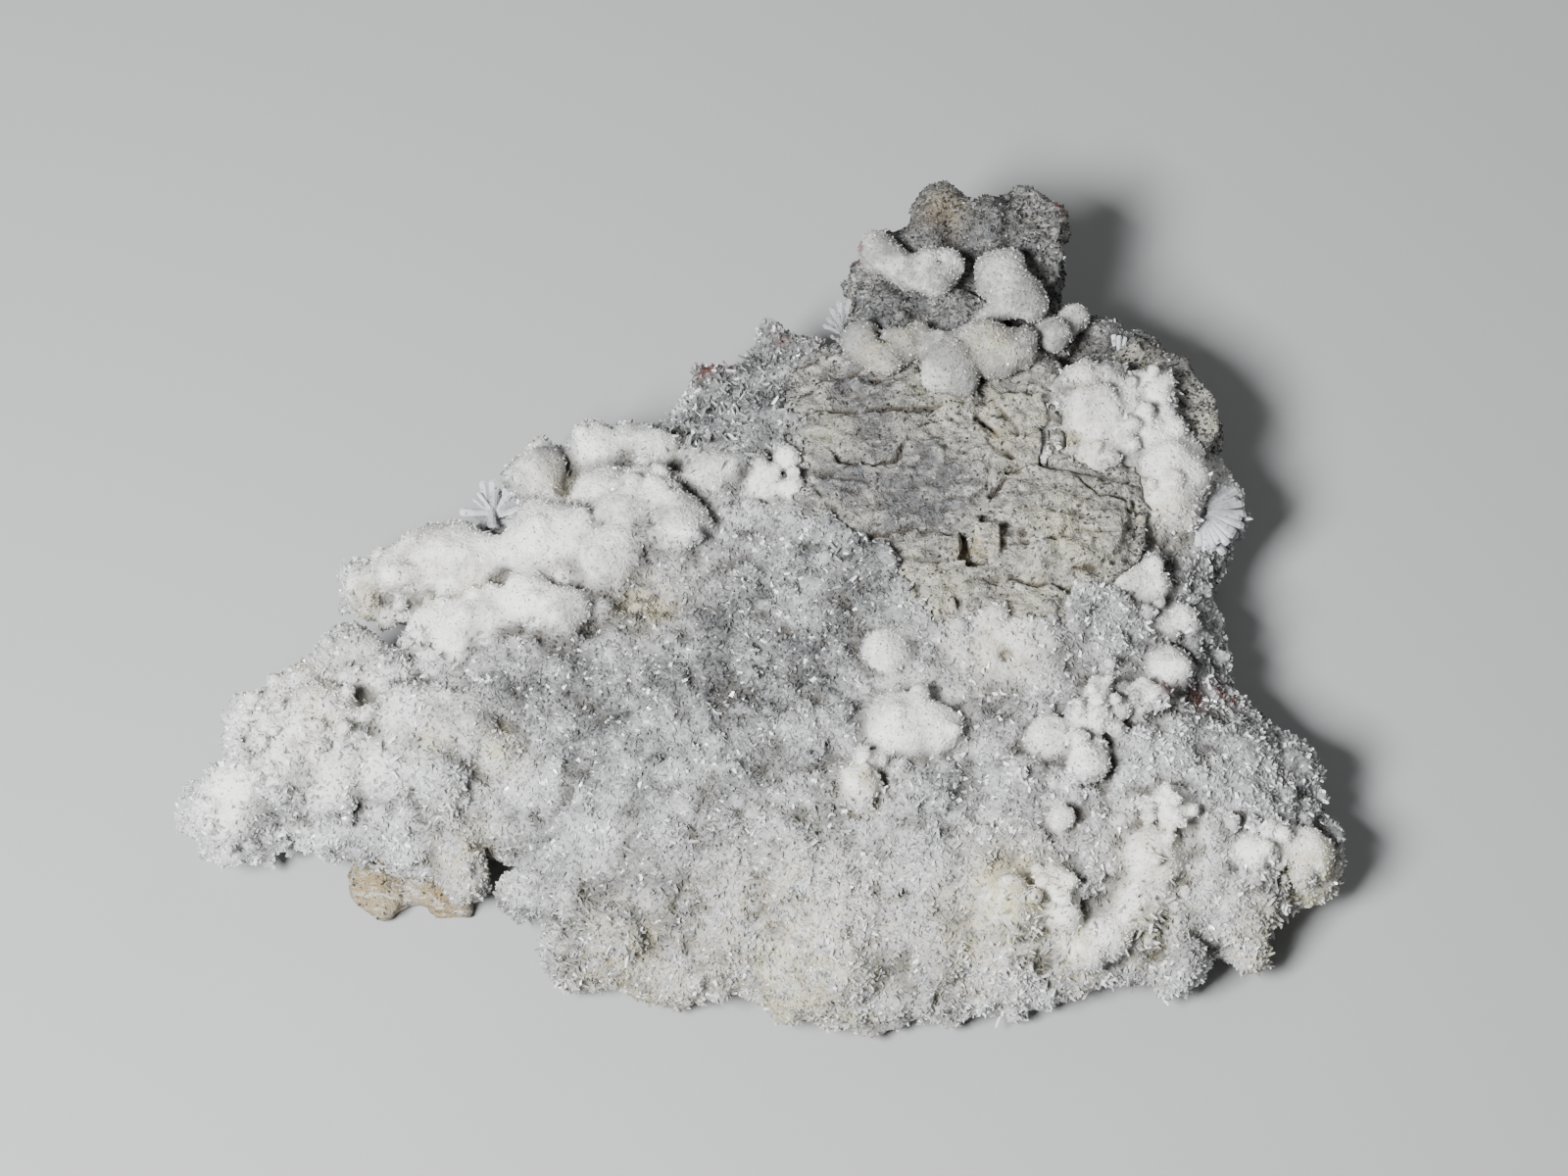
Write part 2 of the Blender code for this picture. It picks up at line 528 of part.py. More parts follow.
def make_clearance(rock):
    """The rock grown by the gap, to cut what sits on it."""
    clearance = bpy.data.objects.new("rock_clearance", rock.data.copy())
    bpy.context.scene.collection.objects.link(clearance)
    make_helper(clearance)
    modifier = clearance.modifiers.new("gap", "DISPLACE")
    modifier.strength = GAP * MM
    modifier.mid_level = 0.0
    apply_modifiers(clearance)
    return clearance


def spray_places(wander):
    """Places for sprays of blades, spread over the crust away from its rim."""
    plan = OUTER_EDGE + CRUST_WINDOW_EDGE
    places = []
    while len(places) < SPRAYS:
        x = wander.uniform(-40.0, 40.0)
        y = wander.uniform(-32.0, 20.0)
        inside = crosses_inside(x, y, plan)
        clear = all(math.dist((x, y), place) > SPRAY_SPACING for place in places)
        if inside and clear and edge_distance(x, y, plan + plan[:1]) > SPRAY_SINK * 2:
            places.append((x, y))
    return places


def crosses_inside(x, y, outline):
    """True where the point lies inside the outline."""
    inside = False
    for (x0, y0), (x1, y1) in zip(outline, outline[1:] + outline[:1]):
        if (y0 > y) != (y1 > y) and x < x0 + (x1 - x0) * (y - y0) / (y1 - y0):
            inside = not inside
    return inside


def spray_blades(wander):
    """Upright blades in sprays of three that lean away from each other."""
    blades = []
    for x, y in spray_places(wander):
        root = Vector((x, y, crust_level(x, y) - SPRAY_SINK))
        first_turn = wander.uniform(0.0, math.tau)
        for step in range(BLADE_BATCHES):
            turn = first_turn + step * math.tau / BLADE_BATCHES
            out = Vector((math.cos(turn), math.sin(turn), 0.0)) * math.sin(SPRAY_LEAN)
            along = out + Vector((0.0, 0.0, math.cos(SPRAY_LEAN)))
            tip = root + along * wander.uniform(*SPRAY_LENGTH)
            blades.append((root, tip, wander.uniform(*SPRAY_WIDTH)))
    return blades


def join_blades(thing, blades):
    """Grows blades onto a body, in batches in which no two touch each other."""
    for batch in range(BLADE_BATCHES):
        shape = bmesh.new()
        for root, tip, width in blades[batch::BLADE_BATCHES]:
            add_blade(shape, root, tip, width)
        helper = to_object(shape, f"{thing.name}_blades_{batch}")
        make_helper(helper)
        combine(thing, helper, "UNION")


def cut_block(thing, name, blocks):
    shape = bmesh.new()
    for middle, size in blocks:
        add_block(shape, middle, size)
    cutter = to_object(shape, name)
    make_helper(cutter)
    combine(thing, cutter, "DIFFERENCE")


def make_crust(clearance):
    wander = random.Random(SEED)
    shape = bmesh.new()
    add_sheet(shape, OUTER_EDGE + CRUST_WINDOW_EDGE)
    add_rim(shape, wander)
    for lumps in (FINGER_LUMPS, RIDGE_LUMPS, WING_LUMPS, RIGHT_LUMPS, FIELD_LUMPS, LOWER_LUMPS):
        add_lumps(shape, lumps)
    crust = to_object(shape, "crystal_crust")
    remesh(crust, CRUST_VOXEL)
    roughen(crust, *CRUST_ROUGHNESS)
    thin_out(crust, CRUST_FACES)
    join_blades(crust, FAN_BLADES + EDGE_BLADES + spray_blades(wander))
    cut_block(crust, "inlet_cutter", [INLET])
    combine(crust, clearance, "DIFFERENCE")
    keep_largest_body(crust)
    return crust


def make_cluster(name, balls, faces, clearance):
    """A cluster of lumps that grew together on the bare rock."""
    shape = bmesh.new()
    for x, y, z, radius in balls:
        add_ball(shape, x, y, z, radius)
    cluster = to_object(shape, name)
    remesh(cluster, LUMP_VOXEL)
    thin_out(cluster, faces)
    combine(cluster, clearance, "DIFFERENCE")
    keep_largest_body(cluster)
    return cluster


def make_clear_crystals(clearance):
    """A few glassy blades on a common root at the left foot of the peak."""
    root = bmesh.new()
    add_ball(root, *CLEAR_ROOT)
    crystals = to_object(root, "clear_crystals")
    join_blades(crystals, CLEAR_BLADES)
    combine(crystals, clearance, "DIFFERENCE")
    keep_largest_body(crystals)
    return crystals


def centre_on_origin(things):
    """Moves the meshes so that the origin lies under the middle of the specimen."""
    points = [point.co for thing in things for point in thing.data.vertices]
    middle_x = (min(p.x for p in points) + max(p.x for p in points)) / 2
    middle_y = (min(p.y for p in points) + max(p.y for p in points)) / 2
    shift = Matrix.Translation((-middle_x, -middle_y, 0.0))
    for thing in things:
        thing.data.transform(shift)


def main():
    clear_scene()
    rock_finish = finish_material("rock", (0.30, 0.29, 0.27), 0.85)
    crust_finish = finish_material("white_crystal", (0.72, 0.74, 0.75), 0.45)
    clear_finish = finish_material("clear_crystal", (0.85, 0.88, 0.92), 0.1)
    rock = make_rock()
    clearance = make_clearance(rock)
    crust = make_crust(clearance)
    upper = make_cluster("upper_crystal_lumps", UPPER_BALLS, UPPER_LUMP_FACES, clearance)
    left = make_cluster("left_crystal_lumps", LEFT_BALLS, LEFT_LUMP_FACES, clearance)
    shoulder = make_cluster(
        "shoulder_crystal_lumps", SHOULDER_BALLS, SHOULDER_LUMP_FACES, clearance
    )
    clear = make_clear_crystals(clearance)
    rock.data.materials.append(rock_finish)
    for thing in (crust, upper, left, shoulder):
        thing.data.materials.append(crust_finish)
    clear.data.materials.append(clear_finish)
    centre_on_origin([rock, crust, upper, left, shoulder, clear])


main()
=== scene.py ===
"""Looks of the rauenthalite specimen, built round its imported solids.

The rock, the crust and the lumps are grown as distance fields on a grid, in plan millimetres,
and wrapped in meshes. The fine druse is blades spread over them by Geometry Nodes.
"""

import math

import bmesh
import bpy
import numpy as np
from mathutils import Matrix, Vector


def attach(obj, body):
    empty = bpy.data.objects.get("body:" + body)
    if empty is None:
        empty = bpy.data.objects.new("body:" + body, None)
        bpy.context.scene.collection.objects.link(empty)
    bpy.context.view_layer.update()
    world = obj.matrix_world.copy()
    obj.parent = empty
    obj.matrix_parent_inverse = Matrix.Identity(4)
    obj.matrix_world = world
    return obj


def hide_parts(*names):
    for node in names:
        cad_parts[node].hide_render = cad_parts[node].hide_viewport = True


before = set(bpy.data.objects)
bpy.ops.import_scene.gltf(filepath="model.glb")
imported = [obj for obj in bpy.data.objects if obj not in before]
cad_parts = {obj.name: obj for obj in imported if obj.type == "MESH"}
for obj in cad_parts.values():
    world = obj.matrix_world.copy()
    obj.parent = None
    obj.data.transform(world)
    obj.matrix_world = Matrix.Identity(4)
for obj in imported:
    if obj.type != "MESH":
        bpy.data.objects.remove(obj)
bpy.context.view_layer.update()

MM = 0.001
# Where the plan's own origin lies in the frame
PLAN_ORIGIN = (0.388, 0.216)

# Fineness of the grids in millimetres: along each axis, stretches that end at a place, each
# with its own step
COARSEN = 1.0
FIELD_LOW = (-46.0, -37.0, -0.6)
FIELD_HIGH = (46.5, 37.5, 18.6)
ROCK_STRETCHES = (
    ((1.5, 0.5), (36.5, 0.18), (46.5, 0.5)),
    ((-7.0, 0.5), (36.5, 0.18), (37.5, 0.4)),
    ((7.0, 0.35), (18.6, 0.18)),
)
CRUST_STRETCHES = (
    ((46.5, 0.27),),
    ((37.5, 0.27),),
    ((4.5, 0.4), (18.6, 0.27)),
)
LUMP_STEP = 0.19
LUMP_ROOM = 1.2
# Most triangles of the two large surfaces, and the share that is kept where they are buried
ROCK_FACES = 150000
CRUST_FACES = 190000
HIDDEN_SHARE = 0.3
# How far under the crust's top a surface counts as buried
BURIED_DEPTH = 0.35

# The slab's heights, as in its solids
RIM_FRONT = 5.6
RIM_RISE = 0.07
FRONT_Y = -34.0
CRUST_TOP = 12.8
SHOULDER = 14.0
RIM_DEPTH = 3.8
RIM_RADIUS = 1.8
RIM_SPACING = 2.6
LUMP_LIFT = 0.4
# A lump that rises less than this keeps the grey of the druse
WHITE_RISE = 0.9
# Groove round a loose lump: depth, width, and how far the lump must rise to have one
MOAT_DEPTH = 0.55
MOAT_WIDTH = 0.45
MOAT_RISE = 0.7
# Where the crust meets the window it stands higher
WINDOW_LIP = 0.9
LIP_WIDTH = 2.2
WINDOW_FOOT = 5.0
WINDOW_FLOOR = 13.4
# Flakes of the window's rock: height of one step, how steep its edge is, and how proud they stand
FLAKE_STEP = 0.24
FLAKE_RISER = 0.4
FLAKE_HEIGHT = 0.7
ROCK_CLEARANCE = 0.06

# The beds of the rock: lowest and highest level, and how much the top rises along +Y
BASE_BED = (-0.6, 5.0, 0.05)
MIDDLE_BED = (3.0, 8.5, 0.02)
PEAK_BED = (5.0, 13.6, 0.0)
SHOULDER_BED = (4.0, 10.6, 0.0)
LEDGE_BED = (-0.6, 2.4, 0.0)

# Edge of the crust, from the foot of the peak round the left, the front and the right
CRUST_BACK_EDGE = [
    (4.5, 21.5), (1.5, 21.5), (0.0, 22.5), (-1.5, 20.0), (-3.5, 19.0), (-5.5, 19.5),
    (-7.0, 16.0), (-9.5, 14.0), (-11.5, 14.0), (-15.0, 13.0), (-15.5, 10.5), (-16.5, 11.5),
    (-19.0, 11.5), (-20.0, 9.0), (-21.5, 6.5), (-22.0, 4.5), (-26.0, 4.5), (-29.5, 3.0),
    (-32.5, 1.5),
]
CRUST_LEFT_EDGE = [
    (-33.0, 0.0), (-31.5, -1.0), (-28.5, -1.5), (-26.5, -0.5), (-27.5, -2.0), (-28.5, -3.5),
    (-29.5, -6.0), (-32.0, -4.5), (-34.5, -6.0), (-37.0, -8.5), (-40.5, -10.5), (-41.0, -14.0),
    (-42.0, -16.5), (-44.0, -17.0), (-43.5, -19.5),
]
CRUST_FRONT_EDGE = [
    (-43.0, -21.5), (-39.5, -21.0), (-36.0, -20.0), (-33.5, -21.5), (-30.0, -22.5),
    (-26.0, -22.5), (-21.5, -23.5), (-21.5, -21.5), (-19.0, -22.0), (-20.5, -23.0),
    (-18.0, -24.5), (-16.0, -26.5), (-16.0, -27.5), (-17.0, -29.5), (-16.0, -31.0),
    (-13.0, -31.5), (-9.5, -32.5), (-2.5, -32.5), (2.5, -34.5), (6.5, -35.0), (10.5, -33.5),
    (14.5, -34.0), (19.5, -33.0), (24.5, -31.5), (29.5, -30.0), (30.0, -31.5), (31.5, -32.0),
    (33.0, -31.0), (32.5, -29.5), (38.0, -29.5), (38.0, -27.5),
]
CRUST_RIGHT_EDGE = [
    (40.0, -25.0), (42.5, -24.5), (43.5, -22.5), (42.5, -20.0), (42.5, -17.5), (43.0, -15.0),
    (42.0, -13.0), (37.5, -10.0), (36.0, -8.5), (35.0, -3.5), (34.0, 0.5), (36.0, 4.0),
    (37.0, 7.0), (37.0, 9.0), (35.5, 11.5),
]
OUTER_EDGE = CRUST_BACK_EDGE + CRUST_LEFT_EDGE + CRUST_FRONT_EDGE + CRUST_RIGHT_EDGE
# Border between the crust and the bare rock of the window, back to the foot of the peak
CRUST_WINDOW_EDGE = [
    (33.0, 11.5), (31.5, 14.0), (29.0, 16.5), (25.0, 17.0), (22.0, 15.5), (21.5, 12.5),
    (22.0, 8.5), (24.5, 8.0), (28.0, 7.0), (28.5, 4.5), (28.0, 0.5), (24.5, -2.5),
    (21.5, -6.0), (13.0, -5.5), (11.5, -4.0), (9.0, 0.5), (5.0, 2.0), (2.5, 4.0),
    (2.5, 13.5), (3.0, 16.0), (4.0, 18.0),
]

# Plan shapes of the rock
BASE_PLAN = [
    (-38.5, -17.5), (-37.0, -19.0), (-33.5, -20.0), (-32.0, -21.5), (-22.0, -22.0),
    (-21.5, -20.5), (-18.5, -20.5), (-16.5, -23.5), (-14.5, -26.5), (-14.5, -29.0),
    (-10.0, -31.0), (-2.0, -31.5), (1.0, -33.5), (6.0, -34.0), (9.5, -32.5), (15.0, -31.5),
    (22.0, -30.0), (28.0, -28.5), (34.0, -27.5), (37.0, -25.0), (40.5, -22.0), (40.0, -16.5),
    (38.0, -12.5), (34.0, -9.0), (32.5, -4.0), (31.5, 1.0), (33.5, 5.0), (33.5, 14.5),
    (31.0, 19.0), (27.0, 21.0), (23.0, 23.0), (21.5, 25.0), (22.0, 31.0), (17.5, 31.5),
    (14.5, 33.0), (12.5, 30.0), (9.5, 28.0), (7.5, 24.5), (6.0, 20.5), (0.0, 19.5),
    (-5.0, 16.5), (-9.0, 12.0), (-15.0, 10.0), (-19.0, 5.5), (-22.0, 1.5), (-26.0, -3.5),
    (-29.0, -8.0), (-35.0, -11.0), (-38.0, -14.0),
]
MIDDLE_PLAN = [
    (-31.0, -15.5), (-27.0, -18.0), (-20.0, -17.0), (-13.0, -22.0), (-9.0, -26.0),
    (0.0, -28.0), (8.0, -28.5), (18.0, -26.5), (27.0, -24.5), (34.0, -22.0), (36.0, -17.5),
    (33.0, -12.5), (30.0, -8.0), (28.0, -2.0), (28.5, 6.0), (30.5, 12.0), (28.0, 17.0),
    (22.0, 20.0), (9.0, 20.0), (1.0, 16.5), (-6.0, 12.0), (-13.0, 7.5), (-18.0, 1.0),
    (-23.0, -6.0), (-30.0, -11.0),
]
WINDOW_PLAN = [
    (3.0, 17.0), (2.5, 13.5), (2.5, 4.0), (5.0, 2.0), (9.0, 0.5), (11.5, -4.0), (13.0, -5.5),
    (21.5, -6.0), (24.5, -2.5), (28.0, 0.5), (28.5, 4.5), (28.0, 7.5), (24.5, 8.5),
    (22.5, 9.5), (22.5, 17.0), (7.0, 19.5),
]
PEAK_PLAN = [
    (6.0, 17.0), (6.5, 26.0), (8.0, 28.5), (12.0, 31.0), (13.0, 33.0), (15.0, 34.0),
    (17.5, 32.5), (20.5, 33.5), (23.0, 31.5), (23.0, 25.5), (22.5, 23.5), (22.5, 15.5),
    (14.0, 15.0),
]
SHOULDER_PLAN = [
    (21.0, 15.5), (22.5, 22.5), (25.5, 23.5), (30.0, 21.5), (33.5, 18.5), (35.5, 14.5),
    (34.5, 10.5), (31.0, 10.0), (27.0, 12.0),
]
LEDGE_PLAN = [
    (-33.0, -21.5), (-31.5, -24.0), (-29.5, -24.5), (-27.5, -23.5), (-25.5, -24.0),
    (-23.0, -24.5), (-22.0, -22.0), (-24.0, -19.0), (-31.0, -19.0),
]

# Plates that the window's rock splits into: plan, then the level of the top
WINDOW_PLATES = [
    ([(6.5, 15.0), (7.5, 16.5), (11.0, 16.5), (15.5, 15.0), (16.5, 13.6), (15.5, 12.5),
      (12.0, 13.0), (8.0, 13.0)], 14.0),
    ([(3.0, 13.0), (7.0, 12.5), (14.5, 11.5), (12.0, 10.5), (10.0, 9.5), (7.5, 8.5),
      (6.0, 9.5), (3.5, 9.5)], 13.6),
    ([(6.5, 7.5), (10.5, 8.0), (13.0, 10.0), (16.5, 11.0), (17.5, 8.5), (17.0, 5.5),
      (15.5, 4.0), (13.0, 3.5), (7.5, 3.0), (4.5, 4.5)], 13.75),
    ([(18.5, 6.5), (21.0, 7.5), (24.5, 7.0), (27.5, 6.0), (27.5, 1.0), (25.0, -1.0),
      (20.5, -0.5), (19.5, 2.5), (18.0, 3.5)], 14.0),
    ([(9.5, 0.5), (14.0, 1.0), (14.5, -1.5), (14.0, -4.5), (12.0, -4.0)], 13.4),
    ([(16.0, -2.5), (21.5, -2.0), (23.5, -3.0), (22.0, -5.0), (17.0, -5.5)], 13.75),
    ([(18.0, 14.0), (21.5, 14.0), (21.5, 9.5), (20.0, 9.5)], 14.0),
]
# The square chip that stands on the window's rock, and the level of its top
WINDOW_CHIP = [(15.9, -0.1), (17.7, -0.2), (17.7, 2.0), (15.8, 2.2)]
CHIP_LEVEL = 15.0
# Hole through the crust beside the front edge, and holes in the window's rock: middle, size
INLET = ((-20.3, -22.2, 6.0), (2.4, 1.8, 14.0))
WINDOW_PITS = [
    ((15.2, 0.8, 13.4), (0.9, 2.8, 3.0)),
    ((16.2, -0.7, 13.4), (1.6, 0.9, 3.0)),
    ((16.6, 3.1, 14.0), (0.8, 1.2, 2.4)),
    ((21.45, 9.4, 14.2), (0.6, 3.2, 2.6)),
    ((14.7, -4.4, 13.6), (0.4, 1.2, 1.4)),
]
# Cracks in the window's rock: the line, then depth and width
WINDOW_CRACKS = [
    ([(5.0, 10.0), (5.5, 8.3), (8.0, 7.7), (10.1, 9.0), (12.1, 11.0), (13.1, 11.4)], 0.9, 0.36),
    ([(16.5, 12.0), (17.4, 10.8), (18.1, 9.5), (18.8, 8.4)], 1.6, 0.55),
    ([(17.4, 4.7), (18.7, 6.4)], 1.0, 0.4),
    ([(24.2, 6.3), (26.0, 5.4), (27.6, 4.9)], 0.9, 0.32),
    ([(2.6, 6.8), (4.2, 5.0), (5.8, 2.6), (8.0, 2.0), (11.0, 2.6), (14.6, 2.2)], 0.5, 0.34),
    ([(18.6, 6.8), (21.2, 7.6), (24.0, 7.2)], 0.6, 0.34),
    ([(15.1, -2.1), (18.2, -1.7), (21.5, -2.1), (24.6, -2.9)], 0.7, 0.34),
    ([(6.4, 15.0), (9.0, 15.7), (12.0, 16.1), (15.0, 15.6)], 0.9, 0.4),
    ([(3.0, 12.7), (6.5, 13.0), (11.0, 12.4), (14.4, 13.0), (16.4, 13.4)], 0.8, 0.36),
    ([(18.4, 1.6), (21.0, 1.0), (24.5, 1.9), (27.0, 1.5)], 0.5, 0.3),
    ([(9.5, -1.5), (11.6, -2.4), (12.6, -4.4)], 0.6, 0.3),
    ([(28.4, 5.0), (28.4, 1.4), (26.6, -0.6)], 0.6, 0.36),
]

# Knobs of the rock: x, y, z of the middle, radius
PEAK_KNOBS = [
    (13.8, 32.2, 12.4, 2.4), (17.5, 29.8, 12.0, 3.4), (20.6, 32.4, 12.0, 1.8),
    (22.4, 30.4, 11.8, 1.8), (21.6, 27.4, 12.2, 2.0), (9.4, 28.4, 12.0, 2.0),
    (7.6, 25.0, 11.8, 1.8), (12.5, 28.5, 12.4, 2.6), (9.5, 21.5, 12.0, 3.0),
    (15.0, 21.5, 12.2, 3.0), (20.5, 17.5, 12.4, 2.2), (22.5, 20.5, 10.8, 2.4),
    (26.0, 21.5, 9.6, 2.2), (29.5, 19.5, 9.6, 2.2), (32.5, 17.0, 9.6, 2.0),
    (34.0, 13.6, 9.4, 2.0), (25.5, 18.5, 9.8, 2.2), (23.0, 8.8, 12.4, 1.4),
]

# White lumps of the crust: x, y, radius, and how far the top stands above the crust
FINGER_LUMPS = [
    (-31.5, 0.0, 1.5, 1.2), (-31.0, -1.5, 0.9, 0.2), (-29.0, 0.5, 2.0, 1.8),
    (-28.5, -1.5, 1.2, 0.6), (-27.0, 1.5, 2.4, 2.3), (-25.0, 2.0, 2.6, 2.6),
    (-22.5, 0.5, 2.6, 2.4), (-23.5, -1.0, 2.0, 1.8), (-26.5, 0.0, 1.9, 1.6),
]
RIDGE_LUMPS = [
    (-17.5, 1.5, 3.2, 3.1), (-18.0, 4.0, 2.2, 1.8), (-18.0, 8.5, 2.4, 2.4),
    (-18.0, 10.5, 1.8, 1.2), (-13.5, 7.0, 2.4, 2.0), (-13.5, 11.0, 1.9, 1.4),
    (-11.0, 12.0, 1.4, 1.0), (-11.5, 4.0, 2.3, 1.8), (-9.5, 6.0, 2.2, 1.6),
    (-7.0, 3.0, 2.3, 1.8), (-15.5, 2.0, 2.3, 2.2), (-12.5, 0.0, 2.3, 1.6),
    (-18.5, -3.0, 2.3, 1.8), (-16.0, -4.5, 2.3, 1.4), (-25.0, -5.0, 2.9, 2.0),
    (-21.5, -3.5, 2.4, 1.6), (-4.5, 8.5, 2.2, 1.0), (-8.5, 10.5, 2.0, 1.0),
]
WING_LUMPS = [
    (-32.0, -6.0, 2.0, 1.4), (-33.5, -7.5, 2.0, 1.6), (-35.5, -9.5, 2.2, 1.8),
    (-37.0, -10.5, 2.1, 1.6), (-39.5, -11.5, 1.8, 1.4), (-40.0, -13.5, 1.6, 1.4),
    (-37.0, -14.0, 2.4, 2.2), (-34.0, -13.5, 3.1, 2.2), (-32.5, -15.5, 2.7, 1.8),
    (-33.0, -17.5, 2.3, 1.4), (-36.5, -17.0, 2.2, 1.8), (-40.0, -17.5, 2.2, 2.0),
    (-42.0, -18.5, 1.8, 1.2), (-40.5, -20.0, 2.0, 1.6), (-27.0, -12.5, 2.8, 1.6),
    (-23.0, -13.5, 2.5, 1.2), (-29.5, -9.0, 2.4, 1.2), (-20.5, -15.5, 1.5, 0.9),
    (-29.0, -16.5, 2.2, 0.9), (-25.0, -17.5, 2.0, 0.8),
]
RIGHT_LUMPS = [
    (25.5, 13.5, 2.0, 1.9), (25.5, 12.0, 2.0, 1.7), (24.5, 16.5, 1.2, 1.0),
    (27.0, 16.5, 0.9, 0.8), (31.0, 16.0, 1.1, 1.6), (29.5, 16.0, 0.9, 1.2),
    (28.5, 14.5, 0.9, 1.2), (28.0, 13.0, 0.9, 1.2), (30.5, 14.5, 0.9, 1.4),
    (27.5, 10.0, 1.4, 1.2), (25.5, 9.5, 1.5, 1.0), (30.0, 11.5, 1.9, 1.8),
    (31.0, 8.5, 2.2, 2.2), (31.0, 6.0, 1.9, 1.8), (32.6, 7.6, 1.5, 1.8),
    (32.5, 10.5, 1.6, 1.4), (29.5, -1.5, 1.7, 1.2), (31.5, -4.0, 1.7, 1.2),
    (28.0, -1.0, 1.4, 1.0), (30.5, -8.5, 1.8, 0.9),
]
FIELD_LUMPS = [
    (25.0, -11.5, 1.4, 1.4), (24.5, -14.0, 1.7, 1.9), (26.5, -13.0, 1.2, 1.4),
    (28.5, -11.5, 1.2, 1.4), (21.0, -15.5, 1.9, 1.3), (24.0, -17.5, 1.6, 1.9),
    (19.0, -18.5, 2.2, 0.8), (22.0, -22.0, 1.2, 1.2), (9.0, -8.0, 1.9, 0.9),
    (10.5, -14.0, 3.6, 1.3), (12.5, -14.5, 2.2, 1.1), (8.0, -17.5, 1.0, 1.0),
    (7.0, -19.5, 1.6, 1.7), (1.5, 8.5, 1.0, 1.4), (0.0, 6.5, 1.6, 0.9), (2.0, 6.0, 1.2, 1.2),
]
LOWER_LUMPS = [
    (30.5, -21.0, 1.6, 1.6), (29.0, -24.0, 2.2, 1.4), (28.0, -27.0, 2.2, 1.2),
    (21.5, -26.5, 1.6, 2.0), (22.0, -28.5, 1.3, 1.6), (18.0, -28.0, 2.6, 2.3),
    (23.5, -30.0, 1.9, 1.2), (25.5, -29.0, 1.9, 1.0), (36.5, -23.5, 1.5, 1.6),
    (38.5, -23.0, 1.1, 1.2), (41.0, -23.0, 1.8, 1.4), (31.5, -30.5, 1.4, 0.4),
    (13.0, -31.0, 2.2, 0.8), (6.0, -32.0, 2.4, 0.8), (-3.0, -29.5, 2.4, 0.7),
    (-11.0, -28.5, 2.4, 0.8), (-8.0, -24.0, 2.6, 0.6), (2.0, -24.0, 2.8, 0.6),
    (12.0, -24.5, 2.6, 0.6), (-14.0, -21.0, 2.4, 0.6), (36.0, -15.0, 2.4, 0.7),
]
MERGED_LUMPS = FINGER_LUMPS + RIDGE_LUMPS + WING_LUMPS + RIGHT_LUMPS
LOOSE_LUMPS = FIELD_LUMPS + LOWER_LUMPS

# Balls of the clusters that sit on the bare rock of the peak: x, y, z of the middle, radius
LEFT_BALLS = [
    (8.6, 27.0, 15.0, 1.3), (8.5, 25.8, 15.0, 1.35), (9.5, 26.0, 15.2, 1.35), (10.4, 24.8, 15.2, 1.25),
    (11.1, 23.8, 15.2, 1.0), (13.2, 24.6, 15.0, 1.9), (12.4, 25.4, 15.4, 1.1), (14.2, 24.9, 15.5, 1.2),
    (13.2, 23.4, 15.5, 1.2),
]
UPPER_BALLS = [
    (17.7, 24.5, 15.3, 1.55), (17.2, 23.1, 15.6, 0.8), (19.1, 25.2, 15.1, 1.4),
    (18.8, 23.7, 15.2, 1.9), (20.1, 22.4, 15.2, 1.6), (20.8, 21.4, 14.9, 1.1), (19.4, 22.0, 15.5, 1.1),
    (18.9, 21.3, 15.1, 0.85), (17.9, 20.8, 15.1, 0.85), (16.9, 20.3, 15.0, 0.75),
    (7.2, 18.2, 15.2, 1.55), (8.0, 17.0, 15.1, 1.4), (9.3, 16.6, 15.2, 1.5), (10.6, 17.8, 15.2, 1.55),
    (11.6, 18.8, 15.1, 1.2), (9.0, 17.6, 14.7, 1.5), (14.1, 15.9, 15.3, 2.2), (13.3, 17.3, 15.2, 1.5),
    (15.2, 14.5, 15.2, 1.35), (13.0, 15.0, 15.0, 1.0), (17.2, 17.6, 15.0, 2.3), (18.9, 17.4, 15.0, 1.7),
    (15.6, 17.6, 15.1, 1.7), (18.0, 16.3, 14.9, 1.4), (20.1, 18.4, 15.0, 1.1), (20.1, 17.0, 15.0, 1.0),
]
SHOULDER_BALLS = [
    (22.4, 19.6, 13.5, 1.6), (24.1, 21.8, 12.5, 1.3), (23.5, 20.8, 12.7, 1.2),
]
# Small pits in those lumps: x, y, radius
CLUSTER_PITS = [(13.5, 24.6, 0.25), (8.9, 17.8, 0.4), (8.6, 18.6, 0.3)]
# Greyer and warmer areas of those lumps: x, y, radius, strength
CLUSTER_GREY_AREAS = [
    (9.2, 17.4, 3.4, 0.8), (16.6, 17.2, 3.8, 0.8), (9.5, 25.8, 2.8, 0.5), (14.5, 15.5, 2.4, 0.2),
]
CLUSTER_WARM_AREAS = [(17.4, 17.2, 2.0, 0.8), (8.6, 16.6, 1.6, 0.6), (10.6, 18.0, 1.6, 0.4)]

# The fan of blades at the right edge: root, length, first and last direction in degrees, width
# and fall of a blade, and its tiers, each with its level and how many blades it has
FAN_ROOT = (33.7, 5.6)
FAN_LENGTH = 4.1
FAN_FIRST = 64.0
FAN_LAST = -97.0
FAN_WIDTH = 0.74
FAN_DROP = -0.22
FAN_TIERS = ((10.3, 15), (9.6, 14))
FAN_TIER_DROP = 0.1
# How uneven it is: turn either way in degrees, share of the length, and how much shorter at its end
FAN_JITTER = 3.0
FAN_SIZES = (0.88, 1.05)
FAN_TAPER = 0.25
# Distance from the root at which its blades start
FAN_START = 0.6

